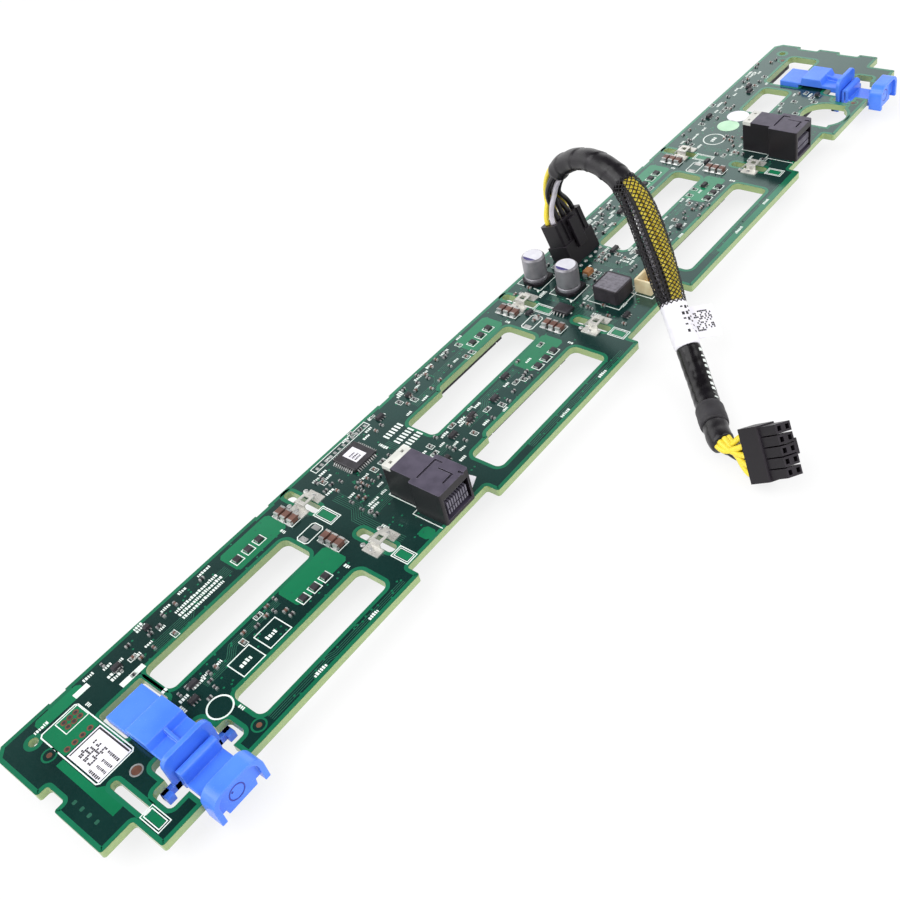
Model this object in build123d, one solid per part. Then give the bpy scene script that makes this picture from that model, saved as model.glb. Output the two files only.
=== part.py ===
from build123d import *
import os
from math import cos, radians, sin, tan

# Drive backplane board of a two-row, four-column server drive bay, lying populated side up.
# It rests on the eight drive receptacles under it. X runs along the board, Y across it, Z up,
# and the origin is at the middle of the object's footprint, on the surface it rests on.
# Places on the board are written as u, from its left end, and v, from its low long edge.

# Board
board_length = 407.0
board_width = 56.5
board_thickness = 2.4
corner_radius = 0.8
end_chamfer = 2.7
foot_length = 9.0
foot_height = 11.0
left_notch_low = 29.5
left_notch_high = 36.5
left_notch_depth = 3.0
right_notches = ((19.0, 27.4), (37.0, 45.2))
right_notch_depth = 2 * corner_radius + 0.3
port_recess_depth = 4.5
port_recesses = ((97.0, 131.0), (204.0, 236.0), (313.5, 342.0))
tab_scar_width = 5.0
tab_scar_depth = 0.5
tab_scars = (17.0, 89.0, 142.0, 248.0, 296.0)
mount_hole_radius = 1.3
mount_hole_inset = 8.1
mount_hole_height = 50.1

# Drive columns and rows
column_pitch = 105.0
row_pitch = 29.5
column_count = 4

# Air vents, as ends along the board; the two full middle bays have a raised step in each vent
vent_low = (5.0, 16.3)
vent_high = (31.0, 42.6)
vent_corner = 2.2
vent_step_rise = 1.7
vent_step_inset = 17.0
vent_low_ends = ((44.0, 90.2), (138.4, 193.2), (243.4, 298.2))
vent_high_ends = ((36.6, 87.4), (139.6, 192.3), (244.6, 297.3), (348.0, 368.4))
arch_vent_ends = (346.5, 364.2)
arch_vent_span = (5.3, 19.5)

# Slots for the drive-cage dividers, each with a ground clip over it
slot_column = 100.0
slot_width = 3.0
slot_length = 14.0
slot_low = 11.6
end_slot_centre = 12.4
end_slot_width = 2.2
end_slot_low = 9.2

# Drive receptacles on the underside
receptacle_centre = 69.0
receptacle_row = 26.0
receptacle_length = 42.0
receptacle_depth = 6.0
receptacle_height = 7.0
receptacle_foot = 2.2
receptacle_tower_length = 35.6
receptacle_tower_depth = 5.0
receptacle_post_length = 2.6
receptacle_slot_depth = 5.2
receptacle_slot_width = 2.2
data_slot_length = 13.6
power_slot_length = 16.4
slot_key_gap = 2.6
slot_key_width = 1.1

# Blue latches: a stepped pad, a shelf, a standing flange with ears, a folded spring and a cup
latch_inset = 28.0
latch_width = 11.4
latch_overhang = 5.7
pad_far_end = 38.2
pad_thick_end = 30.2
pad_step = 29.0
pad_low_top = 1.7
pad_low_under = -0.95
pad_high_top = 4.1
pad_high_under = 0.8
riser_top = 20.8
riser_foot = 19.7
shelf_top = 2.0
shelf_thick_end = 16.2
shelf_under = -0.3
rib_width = 1.0
flange_face = 11.9
flange_thickness = 1.5
flange_width = 14.6
flange_top = 5.7
flange_bottom = -5.5
flange_corner = 2.6
ear_span = 21.4
ear_height = 2.3
ear_reach = 1.4
spring_wall = 1.1
spring_front = 8.8
spring_depth = 2.7
spring_crest = 1.85
neck_top = -2.5
cup_width = 15.0
cup_top = 2.0
cup_bottom = -4.4
cup_lean = 2.3
cup_corner = 3.8
cup_wall = 1.3
cup_hood = 0.8
cup_ramp_end = 4.2
cup_floor_rise = 0.7
cup_edge_gap = 0.35
cup_foot_gap = 0.9

# The board's openings for a latch, as distances each side of its middle and ends across the board
pad_opening = (6.4, 7.0)
pad_opening_span = (29.8, 41.6)
flange_opening = (8.2, 7.8)
flange_opening_end = 18.6
ear_opening = (12.4, 11.2)
ear_opening_span = (5.3, 12.7)
neck_opening = (6.7, 7.0)
side_opening = (373.4, 397.4, 33.0, 45.0)

# Storage ports
port_centres = (119.8, 325.4)
port_front = 4.2
port_length = 22.6
port_height = 11.6
port_body_width = 9.2
port_hood_width = 12.4
port_hood_length = 11.4
port_wall = 1.1
port_roof = 1.3
port_cavity_top = 9.0
port_cavity_length = 10.0
port_rear_block = 3.2
port_groove_width = 0.7
port_groove_depth = 0.5
insert_width = 8.2
insert_front_gap = 0.3
insert_lips = ((2.6, 4.2), (4.7, 7.0))
insert_slots = 8
insert_slot_width = 0.45
insert_slot_depth = 1.6

# Cable header and its plug, which stand at a slant towards the high edge
header_front = (237.0, 42.0)
header_lean = 20.0
header_length = 15.4
header_depth = 8.6
header_height = 8.0
header_wall = 0.9
header_base = 1.0
plug_gap = 0.15
plug_top = 16.2
plug_head_depth = 7.6
plug_latch_width = 4.4
plug_latch_thickness = 1.1
plug_latch_gap = 0.6

# Bulk capacitors
can_places = ((217.7, 50.0), (217.7, 36.3))
can_radius = 4.0
can_height = 10.2
can_base_size = 8.3
can_base_height = 1.3
can_base_chamfer = 1.6
can_seat = 0.5
can_groove = 0.35

# Power inductor
inductor_place = (221.6, 21.1)
inductor_size = 10.0
inductor_height = 5.0
inductor_cap_inset = 0.5
inductor_ridges = 7

# Shrouded option header
option_place = (230.9, 12.2)
option_length = 10.0
option_depth = 6.2
option_height = 5.0
option_wall = 0.8
option_floor = 1.2
option_pins = 4
option_pin_size = 0.64

# Chips
controller_place = (121.0, 46.6)
controller_size = 9.2
controller_height = 1.3
controller_leg_count = 10
controller_leg_pitch = 0.8
driver_place = (207.0, 31.2)
driver_length = 4.4
driver_width = 5.7
driver_height = 1.5
driver_leg_count = 4
driver_leg_pitch = 1.27
leg_width = 0.36
leg_reach = 1.1
leg_thickness = 0.2
chip_standoff = 0.1

# Ceramic capacitors in threes, and small parts in white frames
ceramic_length = 3.2
ceramic_width = 1.9
ceramic_height = 1.5
ceramic_gap = 0.8
ceramic_column = -6.4
ceramic_rows = (29.2, 47.8)
small_part_size = 1.9
small_part_height = 0.8
small_part_columns = (-25.0, -20.8, -16.7)
small_part_rows = (22.0, 48.6)

# Ground clips
clip_wing_length = 3.0
clip_wing_depth = 5.8
clip_thickness = 0.35
clip_rise = 2.3
clip_arch_depth = 3.6
clip_window = 1.9
clip_tongue_length = 3.6
clip_clearance = 0.3
clip_height_on_slot = 2.2

# Cable, from the plug's top face to the connector at its far end
cable_diameter = 8.2
tail_diameter = 6.6
cable_exit_run = 4.2
cable_route = (
    (31.7, 27.4, 33.9),
    (31.0, 24.0, 41.1),
    (30.5, 18.6, 47.0),
    (29.8, 12.1, 50.5),
    (28.8, 5.0, 51.6),
    (27.4, -1.4, 50.7),
    (25.8, -7.7, 48.1),
    (23.6, -13.8, 43.8),
    (17.1, -23.6, 32.1),
    (8.4, -34.2, 18.3),
    (-1.3, -46.3, 8.0),
    (-9.5, -54.5, 5.0),
    (-20.1, -64.1, 5.0),
)
tail_first_run = 4.5
tail_last_run = 5.5
arc_share = 0.45

# Connector on the cable's far end, which its stiff wires hold up on one corner
end_plug_place = (-25.6, -78.3, 6.95)
end_plug_heading = (-0.08, -0.81, 0.58)
end_plug_up = (-0.90, 0.31, 0.32)
end_plug_width = 15.5
end_plug_height = 7.0
end_plug_block = 7.8
end_plug_fingers = 6.1
end_plug_step = 0.35
finger_pitch = 3.0
finger_size = 2.6
finger_columns = 5
finger_bore = 1.4
finger_bore_depth = 4.5
end_latch_width = 4.4
end_latch_length = 9.5
end_latch_thickness = 1.2
end_latch_gap = 0.8
end_latch_root = 2.5

# Values worked out from the ones above
board_top = receptacle_height + board_thickness
board_under = receptacle_height
middle_u = board_length / 2
middle_v = (board_width - latch_overhang) / 2
slot_rows = (slot_low, slot_low + row_pitch)
receptacle_rows = (receptacle_row, receptacle_row + row_pitch - 3.0)
header_floor = header_depth * tan(radians(header_lean)) + header_base
strip_v = port_recess_depth


def block(u0, u1, v0, v1, z0, z1):
    """A plain block between two corners, heights measured from the board's top face."""
    centre = ((u0 + u1) / 2 - middle_u, (v0 + v1) / 2 - middle_v, (z0 + z1) / 2 + board_top)
    return Pos(*centre) * Box(u1 - u0, v1 - v0, z1 - z0)


def patch(u0, u1, v0, v1, radius=0.0):
    """A rectangle on the board's plane between two corners, with rounded corners if asked."""
    centre = Pos((u0 + u1) / 2 - middle_u, (v0 + v1) / 2 - middle_v)
    if radius:
        return centre * RectangleRounded(u1 - u0, v1 - v0, radius)
    return centre * Rectangle(u1 - u0, v1 - v0)


def disc(u, v, radius):
    """A circle on the board's plane."""
    return Pos(u - middle_u, v - middle_v) * Circle(radius)


def raise_sketch(sketch, z0, z1):
    """Extrudes a sketch between two heights above the board's top face."""
    return extrude(Pos(0, 0, z0 + board_top) * sketch, z1 - z0)


def board_slab():
    """The board's slab: feet, end notches, port recesses, chamfers and break-off scars."""
    shape = patch(0, board_length, 0, board_width)
    shape -= patch(0, foot_length, 0, foot_height)
    shape -= patch(board_length - foot_length, board_length, 0, foot_height)
    shape -= patch(0, left_notch_depth, left_notch_low, left_notch_high)
    for low, high in right_notches:
        shape -= patch(board_length - right_notch_depth, board_length, low, high)
    for start, end in port_recesses:
        shape -= patch(start, end, 0, port_recess_depth)
    slab = raise_sketch(shape, -board_thickness, 0)
    top = board_width - middle_v
    upright = slab.edges().filter_by(Axis.Z)
    slab = fillet([e for e in upright if abs(e.center().Y - top) > 0.01], corner_radius)
    upright = slab.edges().filter_by(Axis.Z)
    slab = chamfer([e for e in upright if abs(e.center().Y - top) < 0.01], end_chamfer)
    for start in tab_scars:
        slab -= block(start, start + tab_scar_width, board_width - tab_scar_depth, board_width,
                      -board_thickness, 0)
    return slab


def vent_cuts():
    """The air openings, with the raised step that the two full middle bays have."""
    cuts = []
    for index, (start, end) in enumerate(vent_low_ends):
        cut = patch(start, end, *vent_low, vent_corner)
        if index:
            cut += patch(start + vent_step_inset / 2, end, vent_low[0],
                         vent_low[1] + vent_step_rise, vent_corner)
        cuts.append(cut)
    for index, (start, end) in enumerate(vent_high_ends):
        cut = patch(start, end, *vent_high, vent_corner)
        if index == 1:
            cut += patch(start + vent_step_inset, end, vent_high[0],
                         vent_high[1] + vent_step_rise, vent_corner)
        cuts.append(cut)
    start, end = arch_vent_ends
    radius = (end - start) / 2
    arch = patch(start, end, arch_vent_span[0], arch_vent_span[1] - radius)
    arch += disc((start + end) / 2, arch_vent_span[1] - radius, radius)
    cuts.append(arch)
    return cuts


def slot_cuts():
    """The narrow slots for the cage dividers, rounded at both ends."""
    cuts = []
    for column in range(column_count - 1):
        centre = slot_column + column * column_pitch
        for low in slot_rows:
            cuts.append(patch(centre - slot_width / 2, centre + slot_width / 2,
                              low, low + slot_length, slot_width * 0.45))
    cuts.append(patch(end_slot_centre - end_slot_width / 2, end_slot_centre + end_slot_width / 2,
                      end_slot_low, end_slot_low + slot_length, end_slot_width * 0.45))
    return cuts


def around(centre, reach, span, radius=0.0):
    """A rectangle that reaches by two distances to the sides of a latch's middle."""
    return patch(centre - reach[0], centre + reach[1], *span, radius)


def latch_cut(centre):
    """The stepped opening that a latch hangs in, and the notch that its neck leaves through."""
    low, high = ear_opening_span
    cut = around(centre, ear_opening, ear_opening_span, 1.5)
    cut += around(centre, flange_opening, (low, flange_opening_end), 1.5)
    cut += around(centre, neck_opening, (-1.0, high))
    return cut + around(centre, pad_opening, pad_opening_span, 0.8)


def make_board():
    """The bare board, with every opening through it."""
    cuts = vent_cuts() + slot_cuts() + [latch_cut(centre) for centre in latch_centres]
    cuts.append(patch(*side_opening, 2.0))
    for u in (mount_hole_inset, board_length - mount_hole_inset):
        cuts.append(disc(u, mount_hole_height, mount_hole_radius))
    return board_slab() - [raise_sketch(cut, -board_thickness, 0) for cut in cuts]


def make_receptacle(column, row):
    """A drive receptacle: foot, tower with the keyed plug slot, and a post at each end."""
    centre = receptacle_centre + column * column_pitch
    v = receptacle_rows[row]
    half = receptacle_length / 2
    under = -board_thickness
    bottom = under - receptacle_height
    body = block(centre - half, centre + half, v - receptacle_depth / 2, v + receptacle_depth / 2,
                 under - receptacle_foot, under)
    body += block(centre - receptacle_tower_length / 2, centre + receptacle_tower_length / 2,
                  v - receptacle_tower_depth / 2, v + receptacle_tower_depth / 2, bottom, under)
    for side in (-1, 1):
        middle = centre + side * (half - receptacle_post_length / 2)
        body += block(middle - receptacle_post_length / 2, middle + receptacle_post_length / 2,
                      v - receptacle_tower_depth / 2, v + receptacle_tower_depth / 2, bottom, under)
    slot_top = bottom + receptacle_slot_depth
    total = data_slot_length + slot_key_gap + power_slot_length
    start = centre - total / 2
    for low, length in ((start, data_slot_length),
                        (start + data_slot_length + slot_key_gap, power_slot_length)):
        body -= block(low, low + length, v - receptacle_slot_width / 2,
                      v + receptacle_slot_width / 2, bottom, slot_top)
    key = start + data_slot_length
    body -= block(key - slot_key_width, key, v, v + receptacle_slot_width, bottom, slot_top)
    return body


def side_extrusion(profile, centre, width):
    """A flat shape in the plane across the board, raised to a width about a latch's middle."""
    placed = Plane(origin=(centre - width / 2 - middle_u, -middle_v, board_top),
                   x_dir=(0, 1, 0), z_dir=(1, 0, 0)) * profile
    return extrude(placed, width, dir=(1, 0, 0))


def latch_pad(centre):
    """The latch's flat top: the low pad, the raised pad, the riser and the shelf with its rib."""
    outline = Polyline(
        (pad_far_end, pad_low_top), (pad_step + 0.3, pad_low_top), (pad_step - 0.3, pad_high_top),
        (riser_top, pad_high_top), (riser_foot, shelf_top), (flange_face + 0.5, shelf_top),
        (flange_face + 0.5, shelf_under), (shelf_thick_end, shelf_under),
        (shelf_thick_end, pad_high_under), (pad_thick_end, pad_high_under),
        (pad_thick_end, pad_low_under), (pad_far_end, pad_low_under), close=True)
    corners = [v for v in outline.vertices() if v.Y > pad_high_top - 0.1]
    pad = side_extrusion(make_face(fillet(corners, 0.5)), centre, latch_width)
    rib = Polyline((riser_top - 0.2, shelf_top), (riser_top - 0.2, pad_high_top - 0.3),
                   (flange_face + 0.5, shelf_top), close=True)
    return pad + side_extrusion(make_face(rib), centre, rib_width)


def latch_flange(centre):
    """The standing flange with its rounded shoulders, and the ears at its foot."""
    rear = flange_face + flange_thickness
    plate = block(centre - flange_width / 2, centre + flange_width / 2, flange_face, rear,
                  flange_bottom, flange_top)
    upper = plate.edges().filter_by(Axis.Y).group_by(Axis.Z)[-1]
    flange = fillet(upper, flange_corner)
    foot = block(centre - ear_span / 2, centre + ear_span / 2, flange_face - ear_reach, rear,
                 flange_bottom, flange_bottom + ear_height)
    foot = fillet(foot.edges().filter_by(Axis.Z).group_by(Axis.Y)[0], 0.9)
    middle = ear_span / 2 - ear_height
    return flange + foot - block(centre - middle, centre + middle, flange_face - ear_reach,
                                 flange_face, flange_bottom, flange_bottom + ear_height)


def latch_spring(centre):
    """The spring: a strip that rises from the flange's foot, folds over and runs to the cup."""
    half = spring_wall / 2
    foot = flange_bottom + half
    front = spring_front + half
    back = spring_front + spring_depth - half
    crest = spring_crest - half
    neck = neck_top - half
    bend = (back - front) * 0.49
    path = FilletPolyline((flange_face + half, foot), (back, foot), (back, crest), (front, crest),
                          (front, neck), (0, neck), radius=(spring_wall * 0.6, bend, bend, 0.6))
    return side_extrusion(trace(path, spring_wall), centre, latch_width)


def cup_outline(inset):
    """The cup's arch seen from the front, drawn in by an inset."""
    low = cup_bottom - 1.0
    high = cup_top - inset
    arch = Pos(0, (high + low) / 2) * Rectangle(cup_width - 2 * inset, high - low)
    return fillet(arch.vertices().group_by(Axis.Y)[-1], cup_corner - inset)


def latch_cup(centre):
    """The thumb cup: an arched rim with a leaning mouth, a sloping wall and two feet."""
    front = -latch_overhang
    lip = front + cup_lean
    depth = cup_ramp_end - front
    face = Plane(origin=(centre - middle_u, front - middle_v, board_top), x_dir=(1, 0, 0),
                 z_dir=(0, -1, 0))
    side = Polyline((front, cup_bottom), (lip, cup_top), (cup_hood, cup_top),
                    (cup_hood, cup_edge_gap), (-cup_edge_gap, cup_edge_gap),
                    (-cup_edge_gap, neck_top - spring_wall), (lip, cup_bottom), close=True)
    cup = side_extrusion(make_face(side), centre, cup_width) & extrude(
        face * cup_outline(0), -depth)
    ramp = Polyline((-cup_edge_gap, cup_top), (cup_hood, cup_top), (cup_ramp_end, neck_top),
                    (-cup_edge_gap, neck_top), close=True)
    cup += side_extrusion(make_face(ramp), centre, latch_width)
    scoop = Polyline((front - 1, cup_bottom - 1), (front - 1, cup_top), (lip + 1.5, cup_top),
                     (lip + 1.5, cup_top - cup_wall), (front + cup_floor_rise, cup_bottom),
                     (front, cup_bottom - 1), close=True)
    cup -= side_extrusion(make_face(scoop), centre, cup_width) & extrude(
        face * cup_outline(cup_wall), -depth)
    for side in (-1, 1):
        u = centre + side * (cup_width / 2 - cup_wall - cup_foot_gap / 2)
        cup -= block(u - cup_foot_gap / 2, u + cup_foot_gap / 2, front, 0,
                     cup_bottom, cup_bottom + cup_foot_gap)
    return cup


def make_latch(centre):
    """One moulded latch: pad, step, shelf, flange with ears, folded spring, neck and cup."""
    return latch_pad(centre) + latch_flange(centre) + latch_spring(centre) + latch_cup(centre)


def port_frame(index):
    """The left side, the front and the rear of a storage port."""
    centre = port_centres[index]
    return centre, port_front, port_front + port_length


def make_port(index):
    """A storage port: narrow body, wider front hood, roof grooves, and the open cavity."""
    centre, front, rear = port_frame(index)
    half_body = port_body_width / 2
    half_hood = port_hood_width / 2
    hood_rear = front + port_hood_length
    body = block(centre - half_body, centre + half_body, front, rear - port_rear_block,
                 0, port_height)
    body += block(centre - half_body, centre + half_body, rear - port_rear_block, rear,
                  0, port_height - port_roof)
    hood = block(centre - half_hood, centre + half_hood, front, hood_rear, 0, port_height)
    body += fillet(hood.edges().filter_by(Axis.Z), 0.6)
    body -= block(centre - half_hood + port_wall, centre + half_hood - port_wall, front,
                  front + port_cavity_length, port_wall, port_cavity_top)
    roof = port_height - port_groove_depth
    groove = hood_rear - 1.6
    body -= block(centre - 3.6, centre + 4.6, groove, groove + port_groove_width,
                  roof, port_height)
    body -= block(centre + 3.9, centre + 4.6, groove - 2.2, groove, roof, port_height)
    body -= block(centre + 2.0, centre + 2.4, front + 2.6, front + 7.4, roof, port_height)
    body -= block(centre - 1.8, centre + 2.4, front + 2.0, front + 2.7, roof, port_height)
    body -= block(centre + 3.4, centre + 4.2, front, front + 1.6, roof, port_height)
    return body


def make_port_block(index):
    """The pale rear cap of a storage port, with two small square windows in its top."""
    centre, front, rear = port_frame(index)
    half = port_body_width / 2
    cap = block(centre - half, centre + half, rear - port_rear_block, rear,
                port_height - port_roof, port_height)
    for side in (-1, 1):
        u = centre + side * 2.5
        v = rear - port_rear_block / 2
        cap -= block(u - 0.5, u + 0.5, v - 0.5, v + 0.5, port_height - port_roof, port_height)
    return cap


def make_port_insert(index):
    """The insert inside a port: two lips round a slit, each with a row of contact slots."""
    centre, front, rear = port_frame(index)
    half = insert_width / 2
    start = front + insert_front_gap
    back = front + port_cavity_length
    lips = [block(centre - half, centre + half, start, back, *span) for span in insert_lips]
    low, high = insert_lips[0][0], insert_lips[-1][1]
    insert = lips[0] + lips[1] + block(centre - half, centre + half, back - 1.0, back, low, high)
    pitch = insert_width / (insert_slots + 0.5)
    for number in range(insert_slots):
        u = centre + (number - (insert_slots - 1) / 2) * pitch
        insert -= block(u - insert_slot_width / 2, u + insert_slot_width / 2, start,
                        start + insert_slot_depth, low, high)
    return insert


def header_frame():
    """The slanted frame of the header and plug: its origin is at the header's front foot."""
    u, v = header_front
    return Pos(u - middle_u, v - middle_v, board_top) * Rot(-header_lean, 0, 0)


def slanted(width, y0, y1, z0, z1):
    """A block in the slanted frame, centred along the board."""
    return Pos(0, (y0 + y1) / 2, (z0 + z1) / 2) * Box(width, y1 - y0, z1 - z0)


def make_header():
    """The board header for the cable: a slanted shroud on a foot that meets the board."""
    sunk = header_depth * sin(radians(header_lean)) + 1.0
    body = slanted(header_length, 0, header_depth, -sunk, header_height)
    body -= slanted(header_length - 2 * header_wall, header_wall, header_depth - header_wall,
                    header_floor, header_height)
    notch = plug_latch_width + 0.8
    body -= slanted(notch, 0, header_wall, header_height - 3.2, header_height)
    body = header_frame() * body
    u, v = header_front
    return body - block(u - header_length, u + header_length, v - header_depth,
                        v + 3 * header_depth, -3 * header_depth, 0)


def plug_axis_top():
    """The middle of the plug's top face and the way it faces."""
    tilt = radians(header_lean)
    up = Vector(0, sin(tilt), cos(tilt))
    u, v = header_front
    across = Vector(0, cos(tilt), -sin(tilt)) * (header_depth / 2)
    return Vector(u - middle_u, v - middle_v, board_top) + across + up * plug_top, up


def make_cable_plug():
    """The plug in the header: a tip inside the shroud, a head above it and a latch arm."""
    middle = header_depth / 2
    half = header_depth / 2 - header_wall - plug_gap
    tip = slanted(header_length - 2 * (header_wall + plug_gap), middle - half, middle + half,
                  header_floor, plug_top)
    half = plug_head_depth / 2
    head = slanted(header_length - 2 * plug_gap, middle - half, middle + half,
                   header_height, plug_top)
    head = chamfer(head.edges().filter_by(Axis.Z), 0.6)
    face = middle - half
    arm = slanted(plug_latch_width, face - plug_latch_gap - plug_latch_thickness,
                  face - plug_latch_gap, header_height - 3.0, plug_top - 0.8)
    bridge = slanted(plug_latch_width, face - plug_latch_gap, face, header_height + 3.0,
                     header_height + 5.0)
    groove = slanted(1.4, face, face + 0.6, header_height + 0.4, plug_top)
    body = tip + head + arm + bridge
    for side in (-1, 1):
        body -= Pos(side * 4.4, 0, 0) * groove
    return header_frame() * body


def make_can(index):
    """A capacitor can: a turned cup with a rolled groove above its base and a domed rim."""
    u, v = can_places[index]
    low = can_base_height - can_seat
    spot = Pos(u - middle_u, v - middle_v, board_top)
    profile = Polyline((0, low), (can_radius - 0.4, low), (can_radius, low + 0.4),
                       (can_radius, low + 1.4), (can_radius - can_groove, low + 1.8),
                       (can_radius, low + 2.2), (can_radius, can_height - 0.6),
                       (can_radius - 0.5, can_height), (0, can_height), close=True)
    return spot * revolve(Plane.XZ * make_face(profile), Axis.Z)


def make_can_base(index):
    """A capacitor's black base, with two cut corners and the seat the can stands in."""
    u, v = can_places[index]
    half = can_base_size / 2
    base = block(u - half, u + half, v - half, v + half, 0, can_base_height)
    cut = [e for e in base.edges().filter_by(Axis.Z) if e.center().X < u - middle_u]
    base = chamfer(cut, can_base_chamfer)
    spot = Pos(u - middle_u, v - middle_v, board_top + can_base_height - can_seat / 2)
    return base - spot * Cylinder(can_radius, can_seat)


def make_inductor():
    """The moulded power inductor, with fine ridges across its top."""
    u, v = inductor_place
    half = inductor_size / 2
    body = block(u - half, u + half, v - half, v + half, 0, inductor_height)
    body = chamfer(body.edges().filter_by(Axis.Z), 0.8)
    pitch = (inductor_size - 2 * inductor_cap_inset) / inductor_ridges
    for number in range(1, inductor_ridges):
        start = u - half + inductor_cap_inset + number * pitch
        body -= block(start - 0.12, start + 0.12, v - half + 0.9, v + half - 0.9,
                      inductor_height - 0.15, inductor_height)
    return body


def make_option_header():
    """The cream shrouded header: four walls round a floor."""
    u, v = option_place
    half_u = option_length / 2
    half_v = option_depth / 2
    body = block(u - half_u, u + half_u, v - half_v, v + half_v, 0, option_height)
    return body - block(u - half_u + option_wall, u + half_u - option_wall,
                        v - half_v + option_wall, v + half_v - option_wall,
                        option_floor, option_height)


def make_option_pins():
    """The square pins standing in the option header."""
    u, v = option_place
    pitch = (option_length - 2 * option_wall) / option_pins
    half = option_pin_size / 2
    pins = Part()
    for number in range(option_pins):
        middle = u + (number - (option_pins - 1) / 2) * pitch
        pins += block(middle - half, middle + half, v - half, v + half,
                      option_floor, option_height - 0.8)
    return pins


def chip_body(place, length, width, height):
    """A chip's moulded body, with its top edges sloped in."""
    u, v = place
    body = block(u - length / 2, u + length / 2, v - width / 2, v + width / 2,
                 chip_standoff, height)
    top = body.faces().sort_by(Axis.Z)[-1]
    return chamfer(top.edges(), 0.2)


def gull_leg(u, v, turn, height):
    """A gull-wing leg whose foot points away from the chip along the turn angle."""
    mid = height * 0.5
    t = leg_thickness
    profile = Polyline((0, mid), (leg_reach * 0.35, mid), (leg_reach * 0.6, t), (leg_reach, t),
                       (leg_reach, 0), (leg_reach * 0.5, 0), (leg_reach * 0.25, mid - t),
                       (0, mid - t), close=True)
    leg = extrude(Plane.XZ * make_face(profile), leg_width / 2, both=True)
    return Pos(u - middle_u, v - middle_v, board_top) * Rot(0, 0, turn) * leg


def leg_row(place, length, width, height, count, pitch, turns):
    """Legs along the sides of a chip that face the given turn angles."""
    u, v = place
    legs = []
    for turn in turns:
        away = length / 2 if turn in (0, 180) else width / 2
        cosine, sine = round(cos(radians(turn))), round(sin(radians(turn)))
        for number in range(count):
            along = (number - (count - 1) / 2) * pitch
            legs.append(gull_leg(u + away * cosine - along * sine,
                                 v + away * sine + along * cosine, turn, height))
    return Compound(children=legs)


def make_ceramics():
    """The ceramic capacitors: three in a stack beside each contact slot."""
    parts = []
    step = ceramic_width + ceramic_gap
    for column in range(column_count - 1):
        u = slot_column + column * column_pitch + ceramic_column
        for row in ceramic_rows:
            for number in (-1, 0, 1):
                v = row + number * step
                parts.append(block(u - ceramic_length / 2, u + ceramic_length / 2,
                                   v - ceramic_width / 2, v + ceramic_width / 2,
                                   0, ceramic_height))
    return Compound(children=parts)


def make_small_parts():
    """The small framed parts of each bay, three in a row."""
    parts = []
    half = small_part_size / 2
    for column in range(column_count - 1):
        for row in small_part_rows:
            for offset_u in small_part_columns:
                u = slot_column + column * column_pitch + offset_u
                parts.append(block(u - half, u + half, row - half, row + half,
                                   0, small_part_height))
    return Compound(children=parts)


def make_clip(column, row):
    """A ground clip: two soldered wings, an arch over the slot with a window, and a tongue."""
    u = slot_column + column * column_pitch
    v = slot_rows[row] + clip_height_on_slot + clip_wing_depth / 2
    t = clip_thickness
    inner = slot_width / 2 + clip_clearance
    half = clip_wing_depth / 2
    arch = clip_arch_depth / 2
    clip = block(u - inner - clip_wing_length, u - inner, v - half, v + half, 0, t)
    clip += block(u + inner, u + inner + clip_wing_length, v - half, v + half, 0, t)
    for side in (-1, 1):
        face = u + side * (inner + t / 2)
        clip += block(face - t / 2, face + t / 2, v - arch, v + arch, 0, clip_rise)
    clip += block(u - inner - t, u + inner + t, v - arch, v + arch, clip_rise - t, clip_rise)
    window = clip_window / 2
    clip -= block(u - window, u + window, v - window, v + window, clip_rise - t, clip_rise)
    tongue_half = slot_width / 2 - clip_clearance
    tongue = Polyline((v + arch - t, clip_rise), (v + arch, clip_rise),
                      (v + arch + clip_tongue_length, -1.2), (v + arch + clip_tongue_length - t, -1.4),
                      (v + arch - t, clip_rise - t), close=True)
    face = Plane(origin=(u - tongue_half - middle_u, -middle_v, board_top), x_dir=(0, 1, 0),
                 z_dir=(1, 0, 0)) * make_face(tongue)
    return clip + extrude(face, 2 * tongue_half, dir=(1, 0, 0))


def turn_angle(before, point, after):
    """The turn of a route at one of its points, in degrees."""
    return (point - before).get_angle(after - point)


def make_tube(route, diameter, label):
    """A round tube: straight runs joined by arcs as large as the runs allow."""
    points = list(route)
    radii = []
    for before, point, after in zip(points, points[1:], points[2:]):
        run = min((point - before).length, (after - point).length)
        radii.append(arc_share * run / tan(radians(turn_angle(before, point, after)) / 2))
    path = FilletPolyline(*points, radius=radii)
    section = Plane(origin=points[0], z_dir=points[1] - points[0]) * Circle(diameter / 2)
    tube = sweep(section, path)
    print(label, "length", round(path.length, 1), "radii", [round(r, 1) for r in radii],
          "volume ratio", round(tube.volume / (section.area * path.length), 4))
    return tube


def end_plug_frame():
    """The far-end connector's frame: X along its fingers, Z up through its two rows."""
    up = Vector(*end_plug_up).normalized()
    heading = Vector(*end_plug_heading)
    heading = (heading - up * heading.dot(up)).normalized()
    return Plane(origin=end_plug_place, x_dir=heading, z_dir=up), heading


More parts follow.
